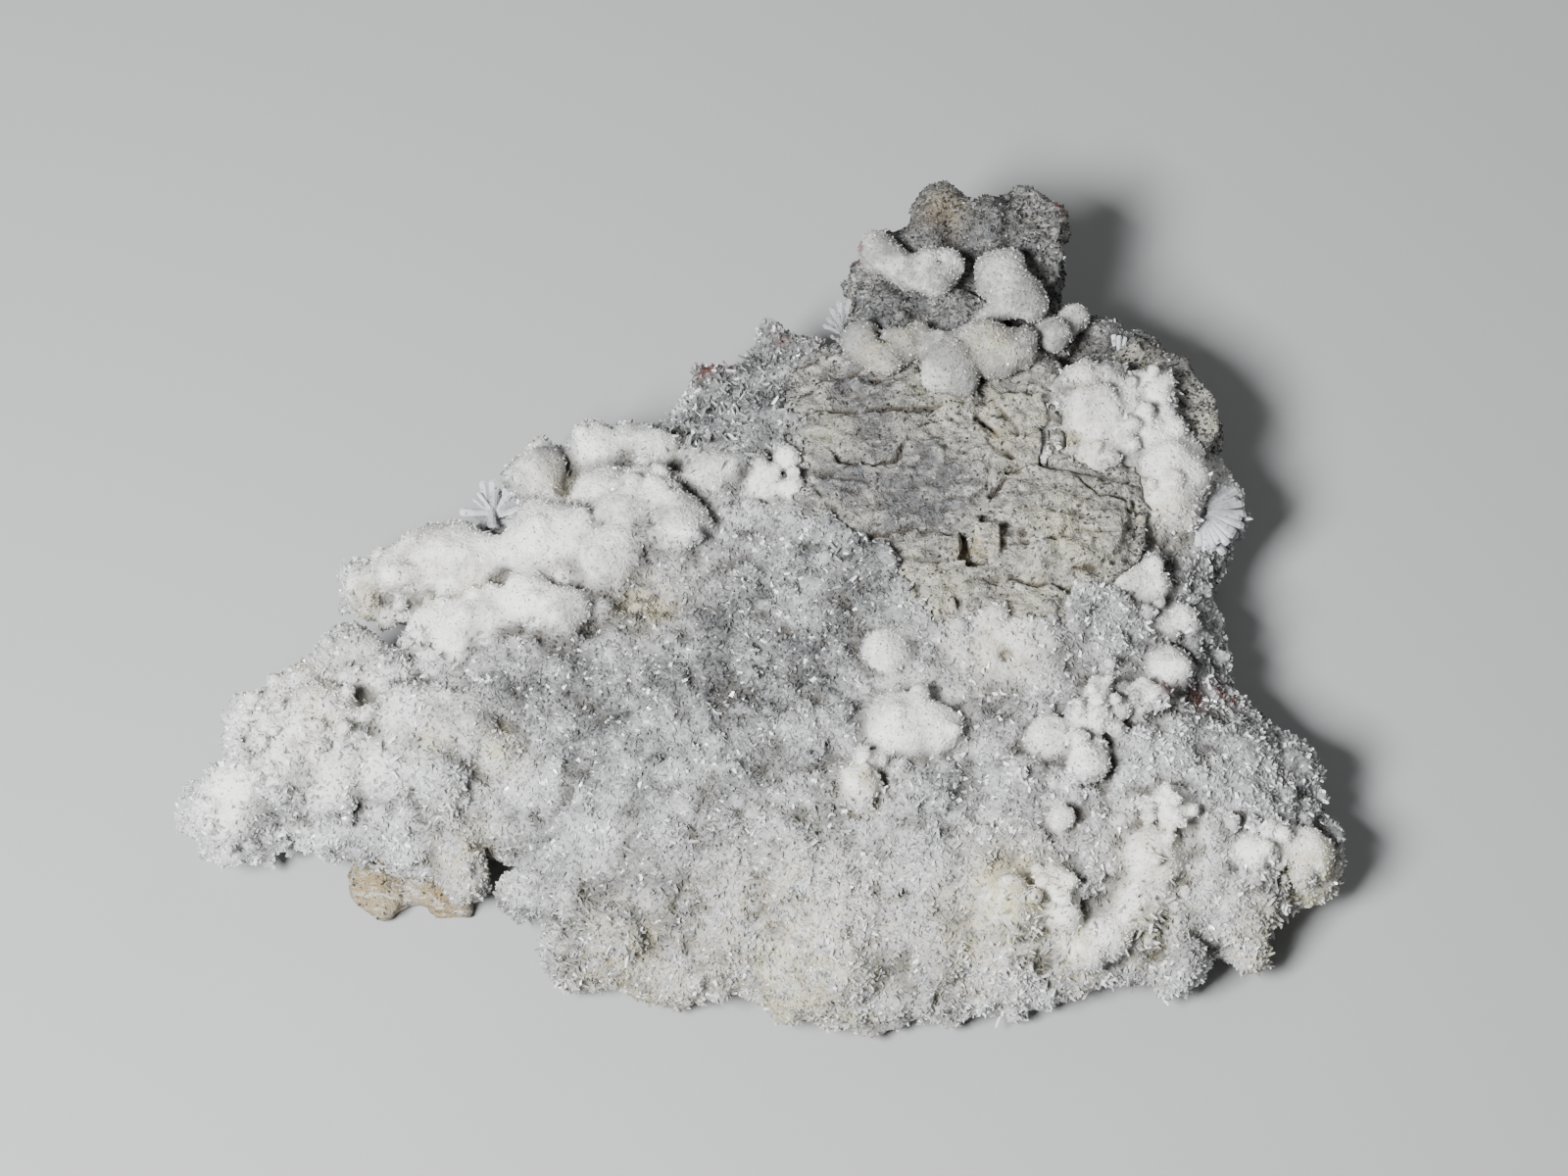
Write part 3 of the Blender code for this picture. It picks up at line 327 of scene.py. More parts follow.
# Blades of the spray at the left edge, and of the clear crystals: root, then tip, then width
SPRAY_BLADES = [
    ((-21.4, 5.8, 9.6), (-24.2, 5.8, 9.8), 0.8), ((-21.9, 5.6, 9.6), (-22.5, 8.5, 9.9), 0.6),
    ((-21.5, 5.8, 9.7), (-21.7, 8.5, 10.1), 0.65), ((-21.7, 6.2, 9.8), (-21.6, 4.0, 10.5), 0.75),
    ((-21.5, 6.2, 9.2), (-22.9, 4.2, 9.4), 0.7), ((-21.6, 5.6, 9.6), (-23.2, 7.1, 9.6), 0.35),
    ((-21.6, 5.8, 9.9), (-22.8, 7.3, 10.2), 0.35), ((-21.6, 5.4, 9.4), (-20.2, 7.6, 10.2), 0.7),
    ((-21.6, 5.4, 9.4), (-19.6, 7.2, 9.8), 0.8), ((-21.6, 5.6, 9.4), (-19.2, 6.2, 9.9), 0.8),
    ((-21.4, 5.4, 9.0), (-19.6, 5.0, 9.6), 0.7), ((-21.0, 5.2, 8.6), (-20.6, 8.2, 9.6), 0.6),
    ((-20.6, 4.6, 8.4), (-23.4, 6.6, 8.6), 0.7),
    ((27.6, 19.4, 11.0), (27.4, 20.7, 12.0), 0.45), ((27.9, 19.3, 11.0), (28.3, 20.4, 12.1), 0.4),
    ((27.8, 19.2, 11.0), (27.8, 20.3, 12.5), 0.4),
]
CLEAR_BLADES = [
    ((5.7, 21.0, 12.6), (4.9, 22.2, 13.7), 0.5), ((5.8, 21.2, 12.6), (5.6, 22.7, 13.9), 0.55),
    ((5.7, 20.8, 12.5), (4.6, 21.3, 13.6), 0.5), ((5.8, 20.4, 12.5), (4.7, 20.4, 13.7), 0.5),
    ((5.8, 20.8, 12.8), (5.4, 21.2, 14.4), 0.5), ((5.9, 20.2, 12.6), (5.3, 20.2, 14.3), 0.45),
    ((5.9, 19.8, 12.5), (4.9, 19.4, 13.8), 0.45), ((6.0, 19.4, 12.6), (5.4, 18.9, 14.1), 0.45),
    ((6.0, 19.2, 12.5), (5.3, 18.2, 13.5), 0.4), ((6.0, 21.4, 12.8), (6.4, 22.6, 14.2), 0.45),
    ((5.9, 19.0, 12.4), (6.0, 17.9, 13.6), 0.4), ((5.8, 20.6, 12.3), (4.3, 21.0, 12.9), 0.4),
]

# Soft areas of the crust in plan: x, y, radius, strength
GREY_AREAS = [
    (-16.8, -6.8, 5.0, 1.1), (-10.8, -4.2, 5.0, 1.1), (-6.2, -10.9, 8.0, 0.85),
    (1.2, -10.1, 8.0, 0.8), (-1.8, -4.2, 6.5, 0.7), (5.7, -5.9, 5.0, 0.9),
    (-12.2, -12.5, 6.0, 0.95), (7.2, -2.5, 3.5, 0.9), (-1.8, -15.9, 6.0, 0.3),
    (-18.2, -10.0, 4.6, 0.7), (-4.4, 0.9, 3.5, 0.5), (33.7, -9.0, 3.5, 0.6),
    (15.5, -11.0, 4.0, 0.6), (22.0, -8.5, 4.0, 0.4), (36.0, -13.0, 4.0, 0.3),
    (30.0, 2.0, 3.0, 0.6), (13.0, -18.5, 3.0, 0.4), (-1.5, 14.0, 6.0, 1.0), (39.5, -17.0, 5.0, 0.2),
    (0.0, 19.0, 4.0, 0.8), (33.0, -14.0, 4.0, 0.3), (-18.0, 9.0, 2.8, 1.5),
    (-6.0, 11.0, 4.0, 0.7), (-12.0, -29.0, 6.0, 0.5), (-11.5, 4.0, 4.5, 1.6),
    (-26.5, 1.0, 5.0, 0.6), (17.5, -28.0, 3.0, 0.6),
]
PALE_AREAS = [
    (-36.0, -13.0, 8.0, 1.0), (-42.0, -19.0, 4.0, 1.0), (-28.0, -11.0, 5.0, 0.9), (-24.0, -5.0, 5.0, 0.8),
    (4.0, -30.0, 9.0, 0.6), (32.0, -22.5, 7.0, 1.2), (-17.5, 1.5, 3.4, 1.2), (-42.0, -18.5, 4.5, 1.3),
    (18.0, -30.0, 8.0, 0.7), (34.0, -27.0, 6.0, 0.8), (-10.6, -18.8, 6.0, 0.3),
    (-28.5, -18.0, 5.0, 0.6), (-27.0, -8.0, 4.5, 0.7), (24.0, -19.0, 5.0, 0.4),
    (-6.0, 2.0, 3.0, 0.4), (8.0, -12.0, 6.0, 0.3), (32.0, 9.0, 5.0, 0.8),
    (2.0, 9.0, 3.0, 0.4), (17.5, -24.5, 5.0, 0.3), (-20.0, -19.0, 4.0, 0.5),
]
WARM_AREAS = [
    (-31.2, -1.9, 1.6, 0.8), (-16.5, 7.5, 1.8, 0.5), (-22.6, -2.0, 1.6, 0.6),
    (-25.2, -14.9, 1.4, 0.7), (-20.3, -15.7, 1.7, 0.9), (17.8, -27.7, 3.8, 1.3),
    (23.2, -30.7, 2.0, 0.9), (21.3, -27.5, 2.0, 0.4), (37.5, 10.3, 1.4, 0.8),
    (24.2, 9.6, 2.5, 0.6), (30.2, 5.0, 3.0, 0.5), (17.6, -7.6, 3.8, 0.45),
    (1.2, -33.5, 9.0, 0.7), (-10.5, -32.6, 6.0, 0.6), (15.1, -30.1, 4.6, 0.6),
    (41.2, -24.1, 2.6, 0.9), (7.1, -19.7, 1.9, 0.8), (38.0, -29.4, 3.5, 0.7),
    (-34.0, -13.0, 4.0, 0.5), (-36.0, -9.0, 3.0, 0.5), (29.0, -24.5, 4.0, 0.5),
    (-9.3, -3.8, 2.4, 0.9), (25.0, 15.0, 2.0, 0.4), (-27.0, 0.5, 3.0, 0.3),
    (-23.0, -22.5, 3.0, 0.6), (28.5, -28.5, 3.0, 0.5),
]
RUST_SPOTS = [
    (23.6, 31.9, 0.9, 1.0), (7.0, 27.0, 0.7, 1.0), (3.9, 22.2, 1.3, 0.9),
    (-5.0, 18.9, 1.1, 1.0), (32.7, -10.6, 1.1, 1.0), (30.3, -11.3, 0.8, 1.0),
    (34.8, -9.6, 1.0, 1.0), (22.9, -28.2, 0.4, 1.0), (16.3, -29.2, 0.4, 1.0),
    (1.2, 21.7, 0.9, 0.8), (-3.5, 19.5, 0.7, 0.9), (35.8, -10.1, 0.7, 1.0),
    (-9.0, -3.2, 0.8, 0.7),
]
WHITE_AREAS = [
    (17.6, -7.8, 3.6, 1.0), (25.5, 13.0, 3.6, 1.0), (31.0, 9.5, 5.0, 1.0),
    (31.5, 5.5, 3.4, 0.9), (-17.0, 1.0, 7.5, 1.0), (-26.0, 0.5, 7.0, 1.0),
    (-11.0, 5.5, 5.5, 1.0), (-14.0, 9.5, 4.5, 0.9), (-23.5, -4.0, 5.0, 0.7),
    (-35.0, -13.0, 7.0, 0.65), (-41.0, -19.0, 3.4, 1.0), (-27.0, -12.0, 4.0, 0.5),
    (-36.5, -14.5, 2.4, 0.8), (9.5, -11.0, 3.0, 0.7), (11.0, -14.5, 4.2, 0.9),
    (20.0, -17.0, 3.0, 0.6), (26.0, -12.5, 2.8, 1.0), (30.0, -23.0, 3.5, 0.7),
    (1.0, 7.5, 2.4, 0.8), (37.8, -23.0, 2.5, 0.6), (30.0, -2.5, 2.4, 0.7),
]
# Where small white balls crowd together
KNOBBY_AREAS = [
    (24.8, -13.6, 2.6, 0.9), (28.0, -11.8, 2.0, 0.9), (25.5, -10.0, 1.8, 0.7),
    (37.5, -23.3, 2.6, 0.9), (30.0, -21.8, 2.4, 0.7), (21.8, -27.0, 2.2, 0.8),
    (31.0, 14.8, 2.8, 0.9), (28.0, 10.0, 2.6, 0.6), (0.7, 7.0, 2.4, 0.9),
    (7.8, -18.4, 1.4, 0.7), (31.0, -4.5, 2.4, 0.7), (-36.0, -15.0, 5.0, 0.5),
    (-40.5, -19.0, 3.0, 0.6), (29.0, -17.5, 1.5, 0.5),
]
# Where long blades stand in feathery sprays
SPRAY_AREAS = [
    (-0.7, 15.7, 4.6, 1.0), (-4.5, 12.5, 4.0, 0.9), (29.1, -28.4, 2.6, 1.0),
    (20.2, -31.0, 3.0, 1.0), (-14.2, -28.8, 3.5, 1.0), (-6.9, -23.3, 1.5, 0.7),
    (1.0, -25.0, 4.0, 0.5), (-27.4, -18.0, 4.0, 0.4), (12.0, -22.5, 2.5, 0.5),
    (-27.0, -7.5, 2.5, 0.7), (37.0, -28.0, 2.5, 0.8), (6.0, -0.5, 2.0, 0.5),
]
# Holes between the crust's crystals: x, y, radius, depth
CRUST_PITS = [
    (-13.8, -5.9, 0.8, 1.2), (-10.8, -3.4, 1.1, 1.4), (-7.8, -4.2, 0.9, 1.2),
    (-14.9, -2.5, 0.7, 1.0), (-12.6, -28.7, 1.0, 1.4), (-22.7, -16.2, 0.6, 0.9),
    (-21.2, 4.0, 0.9, 1.2), (2.9, 14.9, 0.9, 1.2), (18.2, -8.3, 0.55, 0.9),
    (-9.5, -30.0, 0.8, 1.0), (20.6, -31.0, 0.7, 1.0), (-9.0, -2.6, 1.4, 0.9),
]
# How much paler the white lumps are than the druse, and how grey the lumps on the bare rock are
LUMP_PALENESS = 0.45
CLUSTER_GREYNESS = 0.6
# Colours of the rock: x, y, radius, strength
CREAM_AREAS = [
    (16.8, 1.0, 1.6, 1.6), (13.0, -3.8, 3.0, 0.9), (19.5, 9.5, 2.5, 0.8), (24.0, -2.0, 2.5, 0.7),
    (13.4, 14.6, 3.4, 0.6), (19.0, 12.6, 3.2, 0.8), (12.1, -2.7, 3.6, 0.7),
    (28.7, 4.2, 1.6, 0.8), (23.2, 2.0, 4.4, 0.85), (17.5, 1.3, 1.5, 1.0),
    (20.0, -3.5, 3.8, 0.7), (14.2, 31.1, 2.2, 0.15), (29.1, 18.4, 1.8, 0.7),
    (-28.5, -23.0, 5.0, 0.4), (4.5, 11.0, 2.5, 0.5), (34.3, 13.0, 1.5, 0.8),
]
BLUE_AREAS = [
    (11.1, 5.5, 4.6, 0.9), (6.5, 6.0, 3.0, 0.8), (8.0, 13.5, 3.8, 0.8), (15.0, 29.5, 7.0, 1.1),
    (13.0, 16.5, 2.4, 0.5), (24.5, 5.0, 2.2, 0.3),
    (10.0, 22.5, 5.0, 0.9), (21.0, 27.0, 4.0, 0.9), (27.5, 19.5, 6.0, 0.8), (16.0, 20.0, 5.0, 0.8),
]
TAN_AREAS = [
    (-25.0, -23.6, 2.4, 1.0), (-30.5, -23.0, 3.6, 0.85), (13.6, 31.0, 2.4, 0.45),
    (15.4, 0.4, 1.0, 0.9), (17.5, 10.6, 0.8, 0.7),
]


def stepped_axis(low, stretches):
    """Places along an axis, at the step of the stretch that they lie in."""
    places = [low]
    for end, step in stretches:
        while places[-1] < end:
            places.append(places[-1] + step * COARSEN)
    return np.array(places, np.float32)


class Grid:
    """A grid over a box in plan millimetres, finer along some stretches of its axes."""

    def __init__(self, axes):
        self.axes = axes
        self.counts = [len(axis) for axis in axes]
        self.x = axes[0][:, None, None]
        self.y = axes[1][None, :, None]
        self.z = axes[2][None, None, :]
        self.plan_x, self.plan_y = np.meshgrid(axes[0], axes[1], indexing="ij")

    def cells(self, places, axis):
        """The cell that each place along an axis lies in, and its share of the way across."""
        count = self.counts[axis]
        along = np.interp(places, self.axes[axis], np.arange(count))
        cell = np.clip(np.floor(along).astype(int), 0, count - 2)
        return cell, np.clip(along - cell, 0.0, 1.0).astype(np.float32)

    def sample(self, field, points):
        """Values of a field at points, from the eight grid points round each."""
        cells, shares = zip(*[self.cells(points[:, axis], axis) for axis in range(3)])
        value = np.zeros(len(points))
        for corner in np.ndindex(2, 2, 2):
            weight = np.ones(len(points))
            for share, side in zip(shares, corner):
                weight *= share if side else 1.0 - share
            here = tuple(cell + side for cell, side in zip(cells, corner))
            value += weight * field[here]
        return value

    def take_from(self, other, field):
        """The field of another grid, read at this grid's points."""
        for axis in range(3):
            cell, share = other.cells(self.axes[axis], axis)
            shape = [1, 1, 1]
            shape[axis] = -1
            low = np.take(field, cell, axis=axis)
            field = low + (np.take(field, cell + 1, axis=axis) - low) * share.reshape(shape)
        return field

    def places(self, cells):
        """Points of the grid, from whole or part numbers of cells along each axis."""
        along = [np.arange(count) for count in self.counts]
        return np.stack(
            [np.interp(cells[:, axis], along[axis], self.axes[axis]) for axis in range(3)], 1
        )


def plan_distance(x, y, outline):
    """Distance in plan to a closed outline, negative inside it."""
    nearest = np.full(x.shape, 1e9, np.float32)
    inside = np.zeros(x.shape, bool)
    for (x0, y0), (x1, y1) in zip(outline, outline[1:] + outline[:1]):
        run_x, run_y = x1 - x0, y1 - y0
        share = ((x - x0) * run_x + (y - y0) * run_y) / (run_x ** 2 + run_y ** 2)
        share = np.clip(share, 0.0, 1.0)
        reach = (x - x0 - share * run_x) ** 2 + (y - y0 - share * run_y) ** 2
        nearest = np.minimum(nearest, reach)
        if y0 != y1:
            crosses = ((y0 > y) != (y1 > y)) & (x < x0 + run_x * (y - y0) / run_y)
            inside ^= crosses
    nearest = np.sqrt(nearest)
    return np.where(inside, -nearest, nearest)


def line_distance(x, y, line):
    """Distance in plan to an open line."""
    nearest = np.full(x.shape, 1e9, np.float32)
    for (x0, y0), (x1, y1) in zip(line, line[1:]):
        run_x, run_y = x1 - x0, y1 - y0
        share = ((x - x0) * run_x + (y - y0) * run_y) / (run_x ** 2 + run_y ** 2)
        share = np.clip(share, 0.0, 1.0)
        reach = (x - x0 - share * run_x) ** 2 + (y - y0 - share * run_y) ** 2
        nearest = np.minimum(nearest, reach)
    return np.sqrt(nearest)


def soft_areas(x, y, areas):
    """Strength from 0 to 1 of the strongest of these round areas at each place."""
    total = np.zeros(x.shape, np.float32)
    for middle_x, middle_y, radius, strength in areas:
        reach = ((x - middle_x) ** 2 + (y - middle_y) ** 2) / radius ** 2
        total = np.maximum(total, strength * np.exp(-reach * 1.2))
    return total


def smooth_min(first, second, blend):
    """The lower of two fields, with the crease between them rounded over this width."""
    mix = np.clip(0.5 + 0.5 * (second - first) / blend, 0.0, 1.0)
    return second + (first - second) * mix - blend * mix * (1.0 - mix)


def smooth_max(first, second, blend):
    """The higher of two fields, with the crease between them rounded over this width."""
    return -smooth_min(-first, -second, blend)


def spline_weights(share):
    """Weights of the four lattice points round a place on a cubic B-spline."""
    back = 1.0 - share
    return [
        back ** 3 / 6.0,
        (3 * share ** 3 - 6 * share ** 2 + 4) / 6.0,
        (3 * back ** 3 - 6 * back ** 2 + 4) / 6.0,
        share ** 3 / 6.0,
    ]


def swell(grid, lengths, seed):
    """Smooth noise from about -1 to 1 over a grid, with a wavelength along each axis."""
    counts = [
        int((top - foot) / length) + 5
        for foot, top, length in zip(FIELD_LOW, FIELD_HIGH, lengths)
    ]
    value = np.random.default_rng(seed).uniform(-1.0, 1.0, counts).astype(np.float32)
    for axis in (2, 1, 0):
        place = (grid.axes[axis] - FIELD_LOW[axis]) / lengths[axis]
        # The end of a coarse grid may lie just past the lattice
        cell = np.minimum(np.floor(place).astype(int), counts[axis] - 4)
        shape = [1, 1, 1]
        shape[axis] = -1
        weights = spline_weights((place - cell).astype(np.float32))
        total = 0.0
        for step, weight in enumerate(weights):
            total = total + np.take(value, cell + step, axis=axis) * weight.reshape(shape)
        value = total
    return value * 2.4


def even_swell(grid, length, seed):
    """Smooth noise from about -1 to 1 over a grid, with the same wavelength all ways."""
    return swell(grid, (length, length, length), seed)


def plan_noise(u, v, seed):
    """Smooth noise from about -1 to 1 in plan, with a wavelength of 1 in u and in v."""
    table = np.random.default_rng(seed).uniform(-1.0, 1.0, (256, 256)).astype(np.float32)
    cell_u = np.floor(u).astype(int)
    cell_v = np.floor(v).astype(int)
    weights_u = spline_weights(u - cell_u)
    weights_v = spline_weights(v - cell_v)
    total = np.zeros(u.shape)
    for step_u in range(4):
        for step_v in range(4):
            value = table[(cell_u + step_u) % 256, (cell_v + step_v) % 256]
            total += value * weights_u[step_u] * weights_v[step_v]
    return total * 2.0


def grow_knobs(grid, field, spacing, radius, lift, seed, within, keep=1.0):
    """Joins balls of about this radius to the field.

    There is at most one in each lattice cell that the surface meets. The share of the cells
    that get one is keep, times what within gives at the ball's place.
    """
    near = np.argwhere(np.abs(field) < radius + 0.5 * spacing)
    points = grid.places(near)
    random = np.random.default_rng(seed)
    counts = [int((top - foot) / spacing) + 3 for foot, top in zip(FIELD_LOW, FIELD_HIGH)]
    jitter = random.uniform(0.1, 0.9, (*counts, 3))
    sizes = random.uniform(0.7, 1.15, counts) * radius
    chosen = random.uniform(0.0, 1.0, counts) < keep
    corners = np.stack(np.meshgrid(*[np.arange(count) for count in counts], indexing="ij"), -1)
    middles = np.array(FIELD_LOW) - spacing + (corners + jitter) * spacing
    flat = middles.reshape(-1, 3)
    depth = grid.sample(field, flat).reshape(counts)
    chosen &= (depth < lift * radius) & (depth > -radius)
    wanted = within(flat[:, 0], flat[:, 1]).reshape(counts)
    chosen &= wanted > random.uniform(0.0, 1.0, counts)
    low = np.array([axis[0] for axis in grid.axes])
    high = np.array([axis[-1] for axis in grid.axes])
    chosen &= np.all((flat > low) & (flat < high), 1).reshape(counts)
    home = np.floor((points - np.array(FIELD_LOW) + spacing) / spacing).astype(int)
    nearest = np.full(len(points), 1e3)
    for offset in np.ndindex(3, 3, 3):
        cell = home + np.array(offset) - 1
        inside = np.all((cell >= 0) & (cell < np.array(counts)), 1)
        cell = np.clip(cell, 0, np.array(counts) - 1)
        key = (cell[:, 0], cell[:, 1], cell[:, 2])
        reach = np.sqrt(((points - middles[key]) ** 2).sum(1)) - sizes[key]
        nearest = np.where(inside & chosen[key], np.minimum(nearest, reach), nearest)
    key = (near[:, 0], near[:, 1], near[:, 2])
    result = field.copy()
    result[key] = smooth_min(field[key], nearest, radius * 0.35)
    return result


def rim_level(y):
    """Height of the crust along its outer edge, which rises towards the back."""
    return RIM_FRONT + RIM_RISE * (y - FRONT_Y)


def crust_level(x, y):
    """Height of the crust: low at the rim, level inside it."""
    share = np.minimum(1.0, line_distance(x, y, OUTER_EDGE) / SHOULDER)
    rim = rim_level(y)
    return rim + (CRUST_TOP - rim) * (1.0 - (1.0 - share) ** 2)


def point_level(x, y):
    """Height of the crust at one place."""
    return float(crust_level(np.array([x], np.float32), np.array([y], np.float32))[0])


def join_ball(grid, field, x, y, z, radius, blend, wander=None):
    """Joins one ball to the field, in the part of the grid that it reaches.

    A noise, wander, makes the ball uneven, the less so the smaller it is.
    """
    reach = radius + blend + 0.8
    part = tuple(
        slice(*np.searchsorted(axis, (middle - reach, middle + reach)))
        for middle, axis in zip((x, y, z), grid.axes)
    )
    offset_x = grid.axes[0][part[0]][:, None, None] - x
    offset_y = grid.axes[1][part[1]][None, :, None] - y
    offset_z = grid.axes[2][part[2]][None, None, :] - z
    ball = np.sqrt(offset_x ** 2 + offset_y ** 2 + offset_z ** 2) - radius
    if wander is not None:
        ball = ball + wander[part] * min(1.0, radius / 2.0)
    field[part] = smooth_min(field[part], ball, blend)


def bed_field(grid, plan, low, high, rise, wander, drawn=0.0):
    """Distance field of a bed of rock over a plan, with its sides moved by a noise."""
    side = plan_distance(grid.plan_x, grid.plan_y, plan)[:, :, None] + wander
    if drawn:
        side = side + drawn * np.clip(1.0 - grid.z / 3.0, 0.0, 1.0)
    top = grid.z - (high + rise * (grid.y - FRONT_Y))
    return np.maximum(smooth_max(side, top, 0.9), low - grid.z)


def terraces(height, step, riser):
    """Turns a smooth height into flakes: level treads with steep risers."""
    level = height / step
    foot = np.floor(level)
    return (foot + np.clip((level - foot - 0.5) / riser + 0.5, 0.0, 1.0)) * step


def window_top(grid):
    """Height of the window's bare rock: plates, flakes that run across it, cracks and pits."""
    x = grid.plan_x + 0.35 * plan_noise(grid.plan_x / 1.7, grid.plan_y / 1.7, 31)
    y = grid.plan_y + 0.35 * plan_noise(grid.plan_x / 1.7, grid.plan_y / 1.7, 32)
    x = x + 0.22 * plan_noise(grid.plan_x / 0.6, grid.plan_y / 0.6, 33)
    y = y + 0.22 * plan_noise(grid.plan_x / 0.6, grid.plan_y / 0.6, 34)
    top = np.full(x.shape, WINDOW_FLOOR, np.float32)
    for plan, level in WINDOW_PLATES:
        top = np.maximum(top, level - np.maximum(0.0, plan_distance(x, y, plan) + 0.1) * 2.5)
    slanted = y - 0.12 * x
    flakes = 0.55 * plan_noise(x / 4.5, slanted / 2.2, 35)
    flakes += 0.35 * plan_noise(x / 1.8, slanted / 0.9, 36)
    flakes += 0.25 * plan_noise(x / 0.9, slanted / 0.45, 37)
    top += FLAKE_HEIGHT * terraces(flakes, FLAKE_STEP, FLAKE_RISER)
    top += 0.17 * plan_noise(grid.plan_x / 0.5, grid.plan_y / 0.45, 38)
    top += 0.2 * np.abs(plan_noise(grid.plan_x / 0.34, grid.plan_y / 0.3, 39))
    fade = np.clip(0.7 + 0.8 * plan_noise(grid.plan_x / 1.5, grid.plan_y / 1.5, 40), 0.1, 1.0)
    for line, depth, width in WINDOW_CRACKS:
        reach = line_distance(x, y, line) / width
        top -= depth * fade * np.exp(-(reach ** 2) * 4.0)
    border = -plan_distance(x, y, WINDOW_PLAN)
    top -= 0.7 * np.exp(-((np.maximum(border + 0.8, 0.0) / 1.2) ** 2))
    chip = plan_distance(grid.plan_x, grid.plan_y, WINDOW_CHIP)
    chip_top = CHIP_LEVEL + 0.06 * plan_noise(grid.plan_x / 0.5, grid.plan_y / 0.5, 41)
    return np.where(chip < 0.0, chip_top, np.maximum(top, chip_top - chip * 8.0))


def pitted_level(grid):
    """Height of the crust with its pits and its lip, and how far each place is from the window."""
    level = crust_level(grid.plan_x, grid.plan_y)
    for x, y, radius, depth in CRUST_PITS:
        reach = ((grid.plan_x - x) ** 2 + (grid.plan_y - y) ** 2) / radius ** 2
        level = level - depth * np.exp(-reach)
    beside = line_distance(grid.plan_x, grid.plan_y, CRUST_WINDOW_EDGE)
    return level + WINDOW_LIP * np.exp(-((beside / LIP_WIDTH) ** 2)), beside


def cover_limit(grid):
    """Over 0 where rock would stand out of the crust that covers it."""
    level, _ = pitted_level(grid)
    edge = plan_distance(grid.plan_x, grid.plan_y, OUTER_EDGE + CRUST_WINDOW_EDGE)
    return np.minimum(grid.z - (level - 1.2)[:, :, None], (-3.0 * (edge + 1.4))[:, :, None])


def rock_field(grid):
    """Distance field of the rock."""
    broad = even_swell(grid, 4.0, 1)
    layer = swell(grid, (3.5, 3.5, 0.9), 2)
    fine = swell(grid, (1.1, 1.1, 0.7), 3)
    grit = swell(grid, (0.45, 0.45, 0.4), 4)
    wander = 0.35 * broad + 0.45 * np.tanh(2.5 * layer) + 0.22 * fine
    field = bed_field(grid, BASE_PLAN, *BASE_BED, wander, drawn=0.8)
    for plan, bed in (
        (LEDGE_PLAN, LEDGE_BED), (MIDDLE_PLAN, MIDDLE_BED),
        (PEAK_PLAN, PEAK_BED), (SHOULDER_PLAN, SHOULDER_BED),
    ):
        field = np.minimum(field, bed_field(grid, plan, *bed, wander))
    for x, y, z, radius in PEAK_KNOBS:
        join_ball(grid, field, x, y, z, radius, 0.8)
    field += 0.30 * broad + 0.45 * np.abs(layer) + 0.30 * fine + 0.16 * grit - 0.1
    side = plan_distance(grid.plan_x, grid.plan_y, WINDOW_PLAN)[:, :, None] - 0.9 + 0.5 * wander
    field = np.maximum(field, cover_limit(grid))
    window = smooth_max(side, grid.z - window_top(grid)[:, :, None], 0.2)
    field = np.minimum(field, np.maximum(window, WINDOW_FOOT - grid.z))
    for middle, size in WINDOW_PITS:
        hole = box_field(grid, middle, size) + 0.3 * fine
        field = np.maximum(field, -hole)
    return np.maximum(field, -grid.z)


def box_field(grid, middle, size):
    """Distance field of a box."""
    x = np.abs(grid.x - middle[0]) - size[0] / 2
    y = np.abs(grid.y - middle[1]) - size[1] / 2
    z = np.abs(grid.z - middle[2]) - size[2] / 2
    return np.maximum(np.maximum(x, y), z)


def rim_knobs(random):
    """Balls all along the outer edge, of uneven size."""
    balls = []
    carried = 0.0
    for first, last in zip(OUTER_EDGE, OUTER_EDGE[1:]):
        start = Vector(first)
        run = Vector(last) - start
        inward = Vector((-run.y, run.x)).normalized() * RIM_RADIUS
        while carried < run.length:
            place = start + run.normalized() * carried + inward
            radius = RIM_RADIUS * random.uniform(0.8, 1.15)
            balls.append((place.x, place.y, rim_level(place.y) - RIM_RADIUS, radius))
            carried += RIM_SPACING
        carried -= run.length
    return balls


def lump_share(x, y):
    """How far each place belongs to the white lumps: 1 on a lump, 0 between them."""
    share = soft_areas(x, y, WHITE_AREAS)
    white_lumps = FINGER_LUMPS + RIDGE_LUMPS + RIGHT_LUMPS + LOOSE_LUMPS
    for lumps, strength in ((WING_LUMPS, 0.55), (white_lumps, 1.0)):
        for lump_x, lump_y, radius, rise in lumps:
            if rise >= WHITE_RISE:
                reach = np.hypot(x - lump_x, y - lump_y) / radius
                share = np.maximum(share, strength * np.clip(2.6 - 2.0 * reach, 0.0, 1.0))
    return np.clip(share, 0.0, 1.0)


def druse_share(x, y):
    """How far each place belongs to the grey druse between the lumps."""
    return 1.0 - lump_share(x, y)


def knob_share(x, y):
    """How far each place belongs to where small balls crowd together."""
    return soft_areas(x, y, KNOBBY_AREAS)


